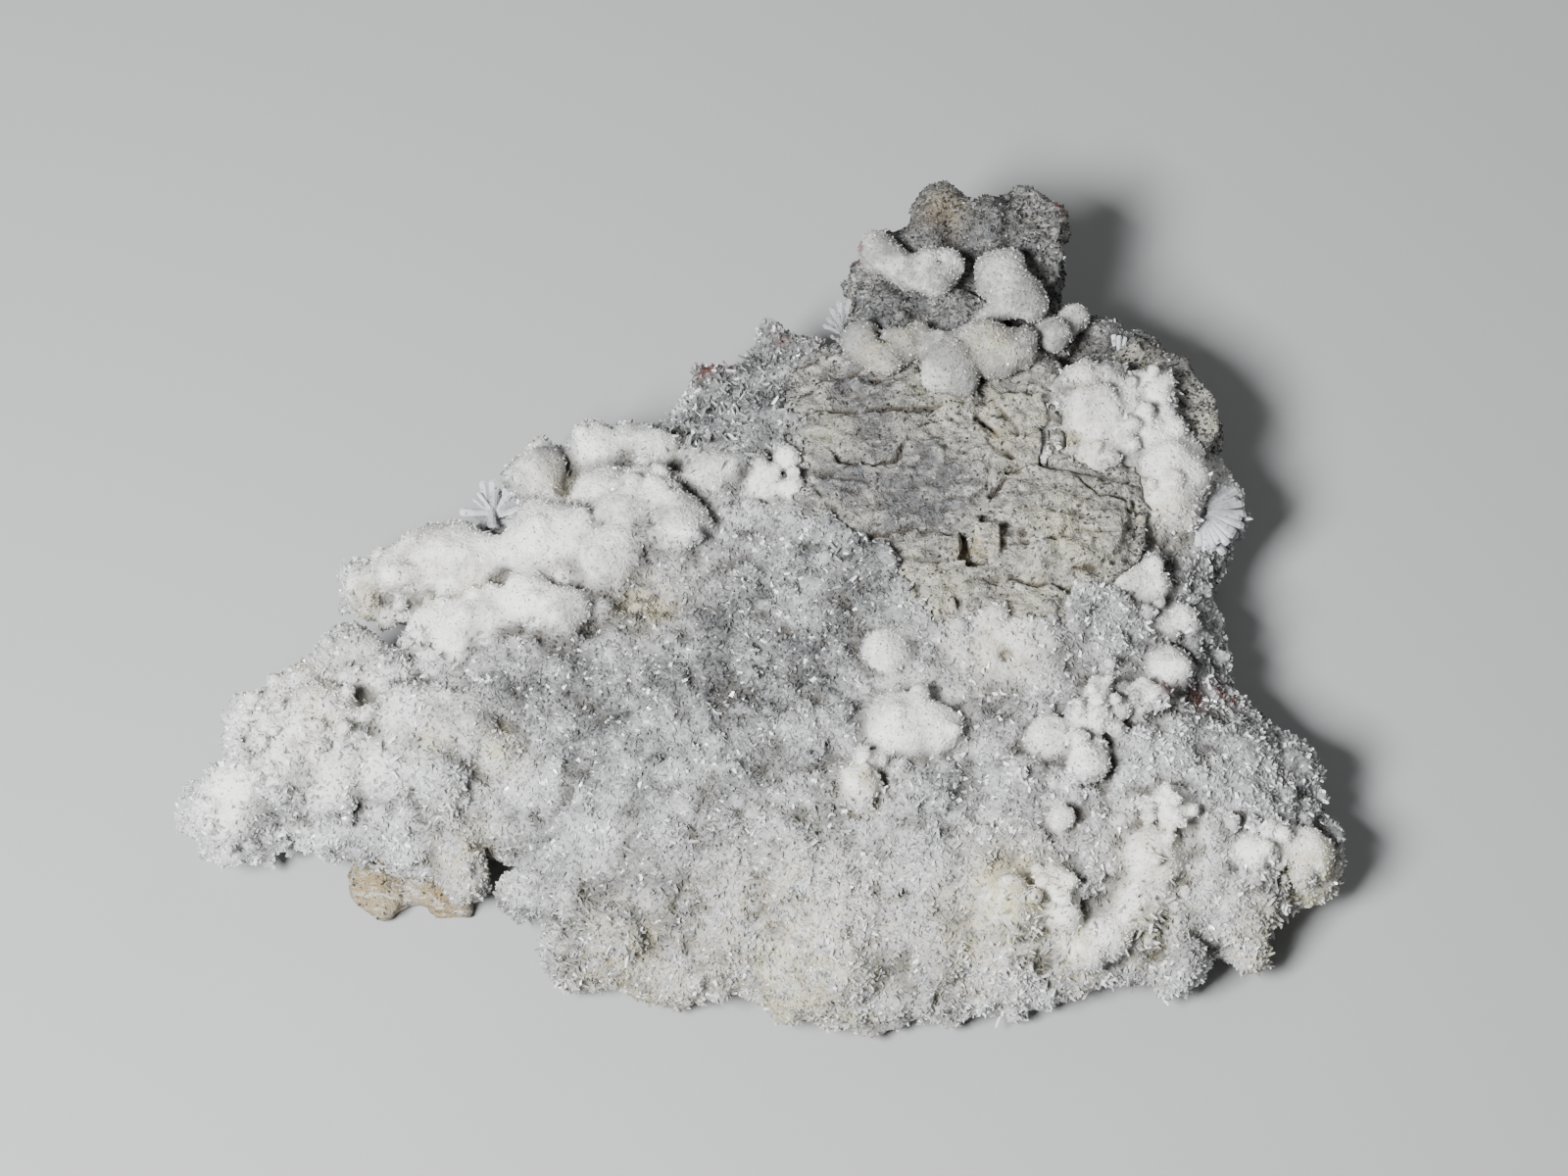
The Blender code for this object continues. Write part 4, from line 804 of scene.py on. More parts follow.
def crust_field(grid):
    """Distance field of the crust with its lumps, before the rock under it is taken away."""
    random = np.random.default_rng(11)
    broad = even_swell(grid, 3.2, 12)
    fine = even_swell(grid, 1.4, 13)
    grit = even_swell(grid, 0.6, 14)
    level, beside = pitted_level(grid)
    broken = np.clip(0.6 + 0.9 * plan_noise(grid.plan_x / 1.6, grid.plan_y / 1.6, 20), 0.0, 1.0)
    for x, y, radius, rise in FIELD_LUMPS:
        depth = MOAT_DEPTH * min(1.0, max(0.0, rise - MOAT_RISE)) * min(1.0, 1.6 / radius)
        ring = (np.hypot(grid.plan_x - x, grid.plan_y - y) - radius * 1.08) / MOAT_WIDTH
        level = level - depth * broken * np.exp(-(ring ** 2))
    edge = plan_distance(grid.plan_x, grid.plan_y, OUTER_EDGE + CRUST_WINDOW_EDGE)
    edge = (edge - 0.7 * np.exp(-((beside / 1.5) ** 2)))[:, :, None]
    edge = edge + 0.35 * broad + 0.4 * fine
    field = smooth_max(grid.z - level[:, :, None], edge, 1.0)
    field = np.maximum(field, rim_level(grid.y) - RIM_DEPTH - grid.z + 0.4 * fine)
    for ball in rim_knobs(random):
        join_ball(grid, field, *ball, 0.7)
    drusy = druse_share(grid.plan_x, grid.plan_y)[:, :, None]
    clumps = even_swell(grid, 2.4, 16)
    field += (0.15 * broad - 0.55 * np.abs(clumps) - 0.34 * np.abs(fine) + 0.34) * drusy
    field = grow_knobs(grid, field, 1.3, 0.6, 0.2, 15, druse_share, keep=0.7)
    uneven = 0.42 * even_swell(grid, 3.0, 21) + 0.34 * even_swell(grid, 1.5, 22)
    for lumps, blend in ((MERGED_LUMPS, 1.0), (FIELD_LUMPS, 0.3), (LOWER_LUMPS, 0.8)):
        for x, y, radius, rise in lumps:
            z = point_level(x, y) + rise + LUMP_LIFT - radius
            join_ball(grid, field, x, y, z, radius * 1.02, blend, uneven)
    lobes = even_swell(grid, 1.9, 17)
    field += (0.16 - 0.34 * np.abs(lobes) - 0.18 * np.abs(fine)) * (1.0 - drusy)
    field = grow_knobs(grid, field, 1.7, 0.85, 0.3, 18, lump_share, keep=0.3)
    field = grow_knobs(grid, field, 1.15, 0.62, 0.8, 19, knob_share)
    field += 0.10 * broad + (0.04 + 0.16 * drusy) * grit
    hole = box_field(grid, *INLET) + 0.5 * fine
    return np.maximum(field, -hole)


def cut_points(grid, field, cells):
    """A point for each of these cells: the mean of where the surface cuts the cell's edges."""
    sums = np.zeros((len(cells), 3))
    counts = np.zeros(len(cells))
    for axis in range(3):
        others = [other for other in range(3) if other != axis]
        for pair in np.ndindex(2, 2):
            first = np.zeros(3, int)
            first[others] = pair
            last = first.copy()
            last[axis] = 1
            here = cells + first
            there = cells + last
            value_here = field[here[:, 0], here[:, 1], here[:, 2]]
            value_there = field[there[:, 0], there[:, 1], there[:, 2]]
            crossing = (value_here < 0.0) != (value_there < 0.0)
            gap = np.where(crossing, value_here - value_there, 1.0)
            share = np.where(crossing, value_here / gap, 0.0)
            place = np.tile(first.astype(float), (len(cells), 1))
            place[:, axis] += share
            sums += place * crossing[:, None]
            counts += crossing
    return grid.places(cells + sums / counts[:, None])


def cut_faces(inside, index, axis):
    """A four-sided face round each grid edge along this axis that the surface cuts."""
    after, beyond = (axis + 1) % 3, (axis + 2) % 3
    start = [slice(None)] * 3
    end = [slice(None)] * 3
    start[axis] = slice(0, -1)
    end[axis] = slice(1, None)
    first = inside[tuple(start)]
    change = np.argwhere(first != inside[tuple(end)])
    clear = (change[:, after] > 0) & (change[:, beyond] > 0)
    clear &= change[:, after] < inside.shape[after] - 1
    clear &= change[:, beyond] < inside.shape[beyond] - 1
    change = change[clear]
    corners = []
    for step_after, step_beyond in ((-1, -1), (0, -1), (0, 0), (-1, 0)):
        cell = change.copy()
        cell[:, after] += step_after
        cell[:, beyond] += step_beyond
        corners.append(index[cell[:, 0], cell[:, 1], cell[:, 2]])
    quads = np.stack(corners, 1)
    outward = first[change[:, 0], change[:, 1], change[:, 2]]
    quads[~outward] = quads[~outward][:, ::-1]
    return quads


def wrap(grid, field):
    """Points and four-sided faces of the surface on which the field is zero."""
    inside = field < 0.0
    total = np.zeros([count - 1 for count in field.shape], np.int8)
    for corner in np.ndindex(2, 2, 2):
        part = tuple(slice(c, n - 1 + c) for c, n in zip(corner, field.shape))
        total += inside[part]
    active = (total > 0) & (total < 8)
    cells = np.argwhere(active)
    index = np.full(active.shape, -1, np.int32)
    index[active] = np.arange(len(cells))
    faces = [cut_faces(inside, index, axis) for axis in range(3)]
    return cut_points(grid, field, cells), np.concatenate(faces)


def biggest_body(points, faces):
    """Keeps only the body with the most points, because the others are crumbs."""
    label = np.arange(len(points))
    first = faces[:, [0, 1, 2]].ravel()
    last = faces[:, [1, 2, 3]].ravel()
    while True:
        low = np.minimum(label[first], label[last])
        after = label.copy()
        np.minimum.at(after, first, low)
        np.minimum.at(after, last, low)
        after = after[after]
        if np.array_equal(after, label):
            break
        label = after
    sizes = np.bincount(label, minlength=len(points))
    keep = sizes[label] >= sizes.max()
    number = np.cumsum(keep) - 1
    return points[keep], number[faces[keep[faces[:, 0]]]]


def add_object(name, data):
    """An object with this data, linked to the scene."""
    thing = bpy.data.objects.new(name, data)
    bpy.context.scene.collection.objects.link(thing)
    return thing


def make_mesh(name, points, faces):
    """An object with a smooth mesh in metres in the frame, from points in plan millimetres."""
    placed = (points + np.array([*PLAN_ORIGIN, 0.0])) * MM
    mesh = bpy.data.meshes.new(name)
    sides = faces.shape[1]
    mesh.vertices.add(len(placed))
    mesh.vertices.foreach_set("co", placed.astype(np.float32).ravel())
    mesh.loops.add(faces.size)
    mesh.loops.foreach_set("vertex_index", faces.astype(np.int32).ravel())
    mesh.polygons.add(len(faces))
    mesh.polygons.foreach_set("loop_start", np.arange(0, faces.size, sides, dtype=np.int32))
    mesh.update(calc_edges=True)
    mesh.polygons.foreach_set("use_smooth", np.full(len(faces), True))
    return add_object(name, mesh)


def surface_piece(name, grid, field):
    """The surface of a field, as an object."""
    return make_mesh(name, *biggest_body(*wrap(grid, field)))


def plan_points(thing):
    """The points of a mesh, in plan millimetres."""
    points = np.empty(len(thing.data.vertices) * 3, np.float32)
    thing.data.vertices.foreach_get("co", points)
    return points.reshape(-1, 3) / MM - np.array([*PLAN_ORIGIN, 0.0])


def triangle_count(thing):
    """How many triangles a mesh has."""
    thing.data.calc_loop_triangles()
    return len(thing.data.loop_triangles)


def settle_modifiers(thing):
    """Turns what the modifiers make into the object's plain mesh."""
    graph = bpy.context.evaluated_depsgraph_get()
    graph.update()
    made = bpy.data.meshes.new_from_object(thing.evaluated_get(graph))
    thing.modifiers.clear()
    thing.data = made


def thin(thing, ratio, group_name=""):
    """Brings a mesh, or a group of its points, down to a share of its triangles."""
    modifier = thing.modifiers.new("thin", "DECIMATE")
    modifier.ratio = ratio
    modifier.vertex_group = group_name
    settle_modifiers(thing)


def thin_hidden(thing, hidden, most):
    """Brings a mesh down to this many triangles, first where it is hidden."""
    group = thing.vertex_groups.new(name="hidden")
    group.add(np.flatnonzero(hidden).tolist(), 1.0, "REPLACE")
    thin(thing, HIDDEN_SHARE, group.name)
    thing.vertex_groups.clear()
    count = triangle_count(thing)
    if count > most:
        thin(thing, most / count)


def set_values(thing, name, values):
    """Stores one number for each point of a mesh."""
    store = thing.data.attributes.new(name, "FLOAT", "POINT")
    store.data.foreach_set("value", np.asarray(values, np.float32))


def full_grid(stretches):
    """A grid over the whole specimen."""
    return Grid([stepped_axis(low, stretch) for low, stretch in zip(FIELD_LOW, stretches)])


def grid_for(balls, step):
    """A grid with room round these balls."""
    axes = []
    for axis in range(3):
        low = min(ball[axis] - ball[3] for ball in balls) - LUMP_ROOM
        high = max(ball[axis] + ball[3] for ball in balls) + LUMP_ROOM
        axes.append(np.arange(low, high, step, dtype=np.float32))
    return Grid(axes)


def cluster_field(grid, balls, seed):
    """Distance field of the lumps of one cluster."""
    field = np.full(grid.counts, 50.0, np.float32)
    for ball in balls:
        join_ball(grid, field, *ball, 0.7)
    for x, y, radius in CLUSTER_PITS:
        reach = ((grid.x - x) ** 2 + (grid.y - y) ** 2) / radius ** 2
        field = field + 0.9 * np.exp(-reach)
    field = field + 0.2 * even_swell(grid, 1.6, seed)
    return field + 0.09 * even_swell(grid, 0.6, seed + 2)


def blurred(field, reach):
    """A field averaged over boxes of cells, by sums along each axis."""
    for axis in range(3):
        pad = [(0, 0)] * 3
        pad[axis] = (reach + 1, reach)
        total = np.cumsum(np.pad(field, pad, mode="edge"), axis=axis, dtype=np.float64)
        width = 2 * reach + 1
        count = field.shape[axis]
        high = np.take(total, np.arange(width, width + count), axis=axis)
        field = ((high - np.take(total, np.arange(count), axis=axis)) / width).astype(np.float32)
    return field


def hollow(grid, field, points):
    """How deep in a hollow each point lies: over 0 in a crevice, under 0 on a bump."""
    reach = 2
    near = grid.sample(blurred(field, reach), points)
    far = grid.sample(blurred(field, 3 * reach), points)
    # The finishes paint shade into the crevices by what this returns
    return -near - 0.5 * far


def paint_crust(thing, hollows):
    """Stores what the crust's finish reads at each point."""
    points = plan_points(thing)
    x, y = points[:, 0], points[:, 1]
    white = lump_share(x, y)
    set_values(thing, "white", white)
    grey = soft_areas(x, y, GREY_AREAS) - soft_areas(x, y, PALE_AREAS)
    set_values(thing, "grey", grey * (1.0 - 0.4 * white) - LUMP_PALENESS * white)
    set_values(thing, "warm", soft_areas(x, y, WARM_AREAS))
    set_values(thing, "rust", soft_areas(x, y, RUST_SPOTS))
    set_values(thing, "hollow", hollows)


def paint_cluster(thing, hollows):
    """Stores what a cluster's finish reads at each point."""
    points = plan_points(thing)
    x, y = points[:, 0], points[:, 1]
    set_values(thing, "white", np.ones(len(points)))
    set_values(thing, "grey", CLUSTER_GREYNESS + soft_areas(x, y, CLUSTER_GREY_AREAS))
    set_values(thing, "warm", soft_areas(x, y, CLUSTER_WARM_AREAS))
    set_values(thing, "rust", soft_areas(x, y, RUST_SPOTS))
    set_values(thing, "hollow", hollows)


def paint_rock(thing, hollows):
    """Stores what the rock's finish reads at each point."""
    points = plan_points(thing)
    x, y = points[:, 0], points[:, 1]
    set_values(thing, "cream", soft_areas(x, y, CREAM_AREAS))
    set_values(thing, "blue", soft_areas(x, y, BLUE_AREAS))
    set_values(thing, "tan", soft_areas(x, y, TAN_AREAS))
    set_values(thing, "rust", soft_areas(x, y, RUST_SPOTS))
    set_values(thing, "grey", np.ones(len(points)))
    set_values(thing, "hollow", hollows)


# Node groups and materials

# Places of a mix node's factor and two colours among its inputs, and of its colour among its outputs
COLOR_MIX_INPUTS = (0, 6, 7)
COLOR_MIX_OUTPUT = 2
# Places of a random number's range among its node's inputs, and of the number among its outputs
RANDOM_FLOAT_RANGE = (2, 3)
RANDOM_FLOAT_OUTPUT = 1
SHADE_SEED = 5
# Colours of the stains and of the rock, and the painted shade that darkens the hollows in each finish
WARM_STAIN = (0.50, 0.46, 0.31, 1.0)
RUST_STAIN = (0.10, 0.022, 0.014, 1.0)
DARK_DOTS = (0.10, 0.085, 0.07, 1.0)
CRUST_PAINTED_SHADE = (0.06, 0.055, 0.045, 1.0)
BLADE_PAINTED_SHADE = (0.055, 0.053, 0.048, 1.0)
ROCK_PAINTED_SHADE = (0.05, 0.037, 0.022, 1.0)
DRUSE_TONES = ((0.045, 0.046, 0.047, 1.0), (0.44, 0.445, 0.45, 1.0))
WHITE_TONES = ((0.20, 0.20, 0.19, 1.0), (0.86, 0.86, 0.83, 1.0))
CRUST_GRAIN = (0.7, 0.71, 0.72, 1.0)
GREY_BANDS = ((0.085, 0.085, 0.080, 1.0), (0.57, 0.56, 0.51, 1.0))
SLATE_BANDS = ((0.032, 0.034, 0.038, 1.0), (0.17, 0.175, 0.185, 1.0))
CREAM_ROCK = (0.56, 0.53, 0.38, 1.0)
TAN_ROCK = (0.32, 0.23, 0.10, 1.0)
ROCK_FLAKES = (0.62, 0.61, 0.57, 1.0)
ROCK_GRAIN = (0.50, 0.49, 0.46, 1.0)
ROCK_SPECKS = (0.045, 0.04, 0.035, 1.0)
CRYSTAL_IOR = 1.55
# Blades whose shade passes the second of these get a painted glint and less roughness; it starts at the first
GLINT_SHADES = (0.91, 0.93)


class Tree:
    """Short forms for building a node tree."""

    def __init__(self, tree):
        self.tree = tree

    def node(self, kind, **settings):
        """A new node with these settings."""
        made = self.tree.nodes.new(kind)
        for name, value in settings.items():
            setattr(made, name, value)
        return made

    def feed(self, socket, value):
        """Links another socket to this one, or sets its value, or leaves it for None."""
        if isinstance(value, bpy.types.NodeSocket):
            self.tree.links.new(value, socket)
        elif value is not None:
            socket.default_value = value

    def math(self, operation, first, second, clamp=False):
        """The output of a node that does this sum."""
        made = self.node("ShaderNodeMath", operation=operation, use_clamp=clamp)
        self.feed(made.inputs[0], first)
        self.feed(made.inputs[1], second)
        return made.outputs[0]

    def mix(self, share, first, second):
        """A share of the second colour over the first."""
        made = self.node("ShaderNodeMix", data_type="RGBA")
        for place, value in zip(COLOR_MIX_INPUTS, (share, first, second)):
            self.feed(made.inputs[place], value)
        return made.outputs[COLOR_MIX_OUTPUT]

    def attribute(self, name):
        """The number that the mesh stores under this name."""
        return self.node("ShaderNodeAttribute", attribute_name=name).outputs["Fac"]

    def noise(self, place, scale, detail=3.0, roughness=0.6):
        """Noise at a place, with this many swells to the metre."""
        made = self.node("ShaderNodeTexNoise")
        self.feed(made.inputs["Vector"], place)
        self.feed(made.inputs["Scale"], scale)
        self.feed(made.inputs["Detail"], detail)
        self.feed(made.inputs["Roughness"], roughness)
        return made.outputs["Fac"]

    def ramp(self, value, low, high):
        """Share from 0 to 1 of the way that a value has gone from low to high."""
        made = self.node("ShaderNodeMapRange", clamp=True)
        self.feed(made.inputs["Value"], value)
        self.feed(made.inputs["From Min"], low)
        self.feed(made.inputs["From Max"], high)
        return made.outputs["Result"]


def new_group(name, inputs, outputs, tree_kind="ShaderNodeTree"):
    """A node group with these sockets: its tree, its input node and its output node."""
    tree = bpy.data.node_groups.new(name, tree_kind)
    for label, kind, value in inputs:
        socket = tree.interface.new_socket(label, in_out="INPUT", socket_type=kind)
        if value is not None:
            socket.default_value = value
    for label, kind in outputs:
        tree.interface.new_socket(label, in_out="OUTPUT", socket_type=kind)
    build = Tree(tree)
    return build, build.node("NodeGroupInput"), build.node("NodeGroupOutput")


def make_stain_group():
    """Warm and rust-brown stains over a colour, by the piece's own attributes."""
    build, given, result = new_group(
        "mineral_stain",
        [
            ("Color", "NodeSocketColor", (0.8, 0.8, 0.8, 1.0)),
            ("Warm", "NodeSocketFloat", 0.0),
            ("Rust", "NodeSocketFloat", 0.0),
            ("Speck", "NodeSocketFloat", 0.0),
        ],
        [("Color", "NodeSocketColor")],
    )
    place = build.node("ShaderNodeTexCoord").outputs["Object"]
    patches = build.ramp(build.noise(place, 900.0), 0.35, 0.62)
    warm_share = build.math("MULTIPLY", given.outputs["Warm"], patches)
    warm = build.mix(warm_share, given.outputs["Color"], WARM_STAIN)
    flecks = build.ramp(build.noise(place, 1700.0, detail=2.0), 0.46, 0.54)
    rust_share = build.math("MULTIPLY", given.outputs["Rust"], flecks)
    rust = build.mix(rust_share, warm, RUST_STAIN)
    dots = build.ramp(build.noise(place, 3300.0, detail=2.0), 0.63, 0.67)
    dot_share = build.math("MULTIPLY", dots, given.outputs["Speck"])
    build.feed(result.inputs["Color"], build.mix(dot_share, rust, DARK_DOTS))
    return build.tree


def make_grain_group():
    """Height and mask of a fine mineral grain."""
    build, given, result = new_group(
        "mineral_grain",
        [("Scale", "NodeSocketFloat", 2500.0)],
        [("Height", "NodeSocketFloat"), ("Mask", "NodeSocketFloat")],
    )
    place = build.node("ShaderNodeTexCoord").outputs["Object"]
    coarse = build.noise(place, given.outputs["Scale"], detail=4.0, roughness=0.7)
    cells = build.node("ShaderNodeTexVoronoi")
    build.feed(cells.inputs["Vector"], place)
    build.feed(cells.inputs["Scale"], build.math("MULTIPLY", given.outputs["Scale"], 1.4))
    height = build.math("ADD", coarse, build.math("MULTIPLY", cells.outputs["Distance"], 0.5))
    build.feed(result.inputs["Height"], height)
    build.feed(result.inputs["Mask"], build.ramp(coarse, 0.35, 0.68))
    return build.tree


def make_patch_group():
    """Uneven tone of the crystals: broad and small patches, and painted shade where the surface is hollow."""
    build, given, result = new_group(
        "mineral_patches",
        [("Grey", "NodeSocketFloat", 0.0), ("Hollow", "NodeSocketFloat", 0.0)],
        [("Tone", "NodeSocketFloat"), ("Dark", "NodeSocketFloat")],
    )
    place = build.node("ShaderNodeTexCoord").outputs["Object"]
    broad = build.ramp(build.noise(place, 250.0, detail=4.0), 0.38, 0.62)
    small = build.ramp(build.noise(place, 1300.0, detail=3.0, roughness=0.7), 0.34, 0.66)
    tone = build.math("ADD", build.math("MULTIPLY", broad, 0.72), build.math("MULTIPLY", small, 0.42))
    tone = build.math("SUBTRACT", tone, build.math("MULTIPLY", given.outputs["Grey"], 0.5))
    # Painted shade: the share by which the hollows are darkened
    dark = build.ramp(given.outputs["Hollow"], 0.03, 0.34)
    build.feed(result.inputs["Tone"], build.math("ADD", tone, 0.0, clamp=True))
    build.feed(result.inputs["Dark"], dark)
    return build.tree


def use_group(build, tree, **values):
    """A node that uses a group, with these inputs."""
    made = build.node("ShaderNodeGroup", node_tree=tree)
    for label, value in values.items():
        build.feed(made.inputs[label], value)
    return made


def new_material(name):
    """A material, the short forms for its tree, and its shader."""
    material = bpy.data.materials.new(name)
    material.use_nodes = True
    build = Tree(material.node_tree)
    return material, build, material.node_tree.nodes["Principled BSDF"]


def add_bump(build, shader, height, distance, strength):
    """Roughens a shader's surface by a height, over this distance in metres."""
    bump = build.node("ShaderNodeBump")
    build.feed(bump.inputs["Height"], height)
    bump.inputs["Distance"].default_value = distance
    bump.inputs["Strength"].default_value = strength
    build.feed(shader.inputs["Normal"], bump.outputs["Normal"])


def make_crust_material(stain, grain, patch):
    """Crust and lumps: grey druse or white crystals, by the attribute white."""
    material, build, shader = new_material("white_crystal")
    texture = use_group(build, grain, Scale=2400.0)
    patches = use_group(build, patch, Grey=build.attribute("grey"), Hollow=build.attribute("hollow"))
    drusy = build.mix(patches.outputs["Tone"], *DRUSE_TONES)
    white = build.mix(patches.outputs["Tone"], *WHITE_TONES)
    base = build.mix(build.attribute("white"), drusy, white)
    grain_share = build.math("MULTIPLY", texture.outputs["Mask"], 0.2)
    grained = build.mix(grain_share, base, CRUST_GRAIN)
    # Painted shade: the crevices darken by the hollow attribute
    painted_shade_share = build.math("MULTIPLY", patches.outputs["Dark"], 0.85)
    deep = build.mix(painted_shade_share, grained, CRUST_PAINTED_SHADE)
    stained = use_group(
        build, stain, Color=deep, Warm=build.attribute("warm"), Rust=build.attribute("rust"), Speck=0.8
    )
    build.feed(shader.inputs["Base Color"], stained.outputs["Color"])
    shader.inputs["Roughness"].default_value = 0.6
    shader.inputs["Subsurface Weight"].default_value = 0.15
    shader.inputs["Subsurface Radius"].default_value = (1.0, 0.95, 0.9)
    shader.inputs["Subsurface Scale"].default_value = 0.0003
    add_bump(build, shader, texture.outputs["Height"], 0.00015, 0.8)
    return material


def make_blade_material(name, stain, patch, dark, light, painted_glint_color):
    """Blades: each has a tone of its own, and a few of them get a painted glint."""
    material, build, shader = new_material(name)
    shade = build.attribute("shade")
    patches = use_group(build, patch, Grey=build.attribute("grey"), Hollow=build.attribute("hollow"))
    mixed = build.math("MULTIPLY", patches.outputs["Tone"], 0.72)
    tone = build.math("ADD", build.math("MULTIPLY", shade, 0.28), mixed, clamp=True)
    plain_tone = build.mix(tone, (*dark, 1.0), (*light, 1.0))
    # Painted glint: a few blades get a bright base colour, and a lower roughness
    glint = build.ramp(shade, *GLINT_SHADES)
    base = build.mix(glint, plain_tone, (*painted_glint_color, 1.0))
    # Painted shade: blades in the crevices darken by the hollow attribute
    painted_shade_share = build.math("MULTIPLY", patches.outputs["Dark"], 0.85)
    deep = build.mix(painted_shade_share, base, BLADE_PAINTED_SHADE)
    stained = use_group(
        build, stain, Color=deep, Warm=build.attribute("warm"), Rust=build.attribute("rust"), Speck=0.85
    )
    build.feed(shader.inputs["Base Color"], stained.outputs["Color"])
    build.feed(shader.inputs["Roughness"], build.math("SUBTRACT", 0.5, build.math("MULTIPLY", glint, 0.38)))
    shader.inputs["IOR"].default_value = CRYSTAL_IOR
    return material


def make_rock_material(stain, grain):
    """Layered rock: bands along the layers, then slate, cream and tan areas, flakes and specks."""
    material, build, shader = new_material("layered_rock")
    texture = use_group(build, grain, Scale=3400.0)
    place = build.node("ShaderNodeTexCoord").outputs["Object"]
    stretch = build.node("ShaderNodeMapping")
    build.feed(stretch.inputs["Vector"], place)
    stretch.inputs["Scale"].default_value = (0.6, 1.25, 1.25)
    stretch.inputs["Rotation"].default_value = (0.0, 0.0, math.radians(7.0))
    bands = build.ramp(build.noise(stretch.outputs["Vector"], 700.0, detail=8.0, roughness=0.8), 0.34, 0.66)
    base = build.mix(bands, *GREY_BANDS)
    slate = build.mix(bands, *SLATE_BANDS)
    broad = build.ramp(build.noise(place, 330.0, detail=4.0, roughness=0.65), 0.44, 0.58)
    broad_share = build.math("MULTIPLY", broad, 0.6)
    slate_share = build.math("ADD", build.attribute("blue"), broad_share, clamp=True)
    blue = build.mix(slate_share, base, slate)
    patches = build.ramp(build.noise(place, 600.0, detail=6.0, roughness=0.75), 0.40, 0.56)
    cream_share = build.math("MULTIPLY", build.attribute("cream"), patches, clamp=True)
    cream = build.mix(cream_share, blue, CREAM_ROCK)
    tan = build.mix(build.attribute("tan"), cream, TAN_ROCK)
    flakes = build.ramp(build.noise(stretch.outputs["Vector"], 1300.0, detail=5.0, roughness=0.7), 0.53, 0.60)
    hidden_share = build.math("MULTIPLY", build.attribute("blue"), 0.6)
    open_share = build.math("SUBTRACT", 0.8, hidden_share, clamp=True)
    flaked = build.mix(build.math("MULTIPLY", flakes, open_share), tan, ROCK_FLAKES)
    grain_share = build.math("MULTIPLY", texture.outputs["Mask"], 0.15)
    grained = build.mix(grain_share, flaked, ROCK_GRAIN)
    specks = build.ramp(build.noise(place, 2900.0, detail=4.0, roughness=0.7), 0.45, 0.37)
    specked = build.mix(build.math("MULTIPLY", specks, 0.85), grained, ROCK_SPECKS)
    # Painted shade in the rock's hollows
    dark = build.ramp(build.attribute("hollow"), 0.03, 0.4)
    deep = build.mix(build.math("MULTIPLY", dark, 0.85), specked, ROCK_PAINTED_SHADE)
    stained = use_group(build, stain, Color=deep, Rust=build.attribute("rust"), Speck=0.5)
    build.feed(shader.inputs["Base Color"], stained.outputs["Color"])
    shader.inputs["Roughness"].default_value = 0.75
    coarse = build.noise(place, 1400.0, detail=5.0, roughness=0.75)
    height = build.math("ADD", texture.outputs["Height"], build.math("MULTIPLY", coarse, 1.5))
    add_bump(build, shader, height, 0.00022, 1.0)
    return material


def make_clear_material():
    """Glassy crystal that light passes through."""
    material, _, shader = new_material("clear_crystal")
    shader.inputs["Base Color"].default_value = (0.96, 0.98, 1.0, 1.0)
    shader.inputs["Roughness"].default_value = 0.04
    shader.inputs["IOR"].default_value = CRYSTAL_IOR
    shader.inputs["Transmission Weight"].default_value = 0.75
    return material


# Blades

# Small blades that the growth spreads: length, width, and thickness as a share of the width
DRUSE_BLADE = (0.37, 0.28, 0.65)
SPRAY_BLADE = (0.95, 0.34, 0.4)
# Share of a small blade's length that is rooted in the surface, and the two corners of its tip
# as shares of half its width and of its length
BLADE_ROOT = 0.15
BLADE_TIP = ((-0.7, 1.0), (0.45, 0.88))
# Rings of a large blade from root to tip: share of the way, of its width and of its thickness
BLADE_RINGS = ((0.0, 0.6, 0.8), (0.9, 1.0, 1.0), (1.0, 0.62, 0.25))
# Highest shade of a large blade, so that it doesn't glint
DULL_SHADE = 0.9
# Thickness of the large blades as a share of their width
FAN_FLATNESS = 0.6
SPRAY_FLATNESS = 0.5
CLEAR_FLATNESS = 0.6
# Six corners of a large blade's section, as shares of half its width and half its thickness
BLADE_SECTION = ((1.0, 0.0), (0.35, 1.0), (-0.35, 1.0), (-1.0, 0.0), (-0.35, -1.0), (0.35, -1.0))
# Finish of each kind of blade: its darkest tone, its lightest, and the colour of its painted glints
BLADE_COLORS = {
    "icy_blades": ((0.05, 0.0513, 0.053), (0.57, 0.577, 0.583), (0.95, 0.96, 0.97)),
    "spray_blades": ((0.14, 0.143, 0.147), (0.66, 0.67, 0.68), (0.9, 0.91, 0.92)),
    "fan_blades": ((0.20, 0.206, 0.22), (0.74, 0.76, 0.80), (0.8, 0.82, 0.86)),
    "velvet_blades": ((0.20, 0.20, 0.19), (0.91, 0.91, 0.88), (0.96, 0.96, 0.94)),
    "grey_grains": ((0.026, 0.027, 0.026), (0.16, 0.162, 0.155), (0.42, 0.43, 0.43)),
}


def bmesh_object(name, shape):
    """Turns a bmesh into an object in the scene."""
    mesh = bpy.data.meshes.new(name)
    shape.to_mesh(mesh)
    shape.free()
    return add_object(name, mesh)


def blade_shape(name, length, width, flatness):
    """A small crystal blade that stands on the origin along +Z and narrows to a chisel edge."""
    length *= MM
    width *= MM
    shape = bmesh.new()
    half = width / 2
    deep = half * flatness
    low = [
        shape.verts.new((x, y, -BLADE_ROOT * length))
        for x, y in ((-half, -deep), (half, -deep), (half, deep), (-half, deep))
    ]
    tip = [shape.verts.new((half * wide, 0.0, length * tall)) for wide, tall in BLADE_TIP]
    shape.faces.new((low[0], low[1], tip[1], tip[0]))
    shape.faces.new((low[1], low[2], tip[1]))
    shape.faces.new((low[2], low[3], tip[0], tip[1]))
    shape.faces.new((low[3], low[0], tip[0]))
    shape.faces.new((low[3], low[2], low[1], low[0]))
    return bmesh_object(name, shape)


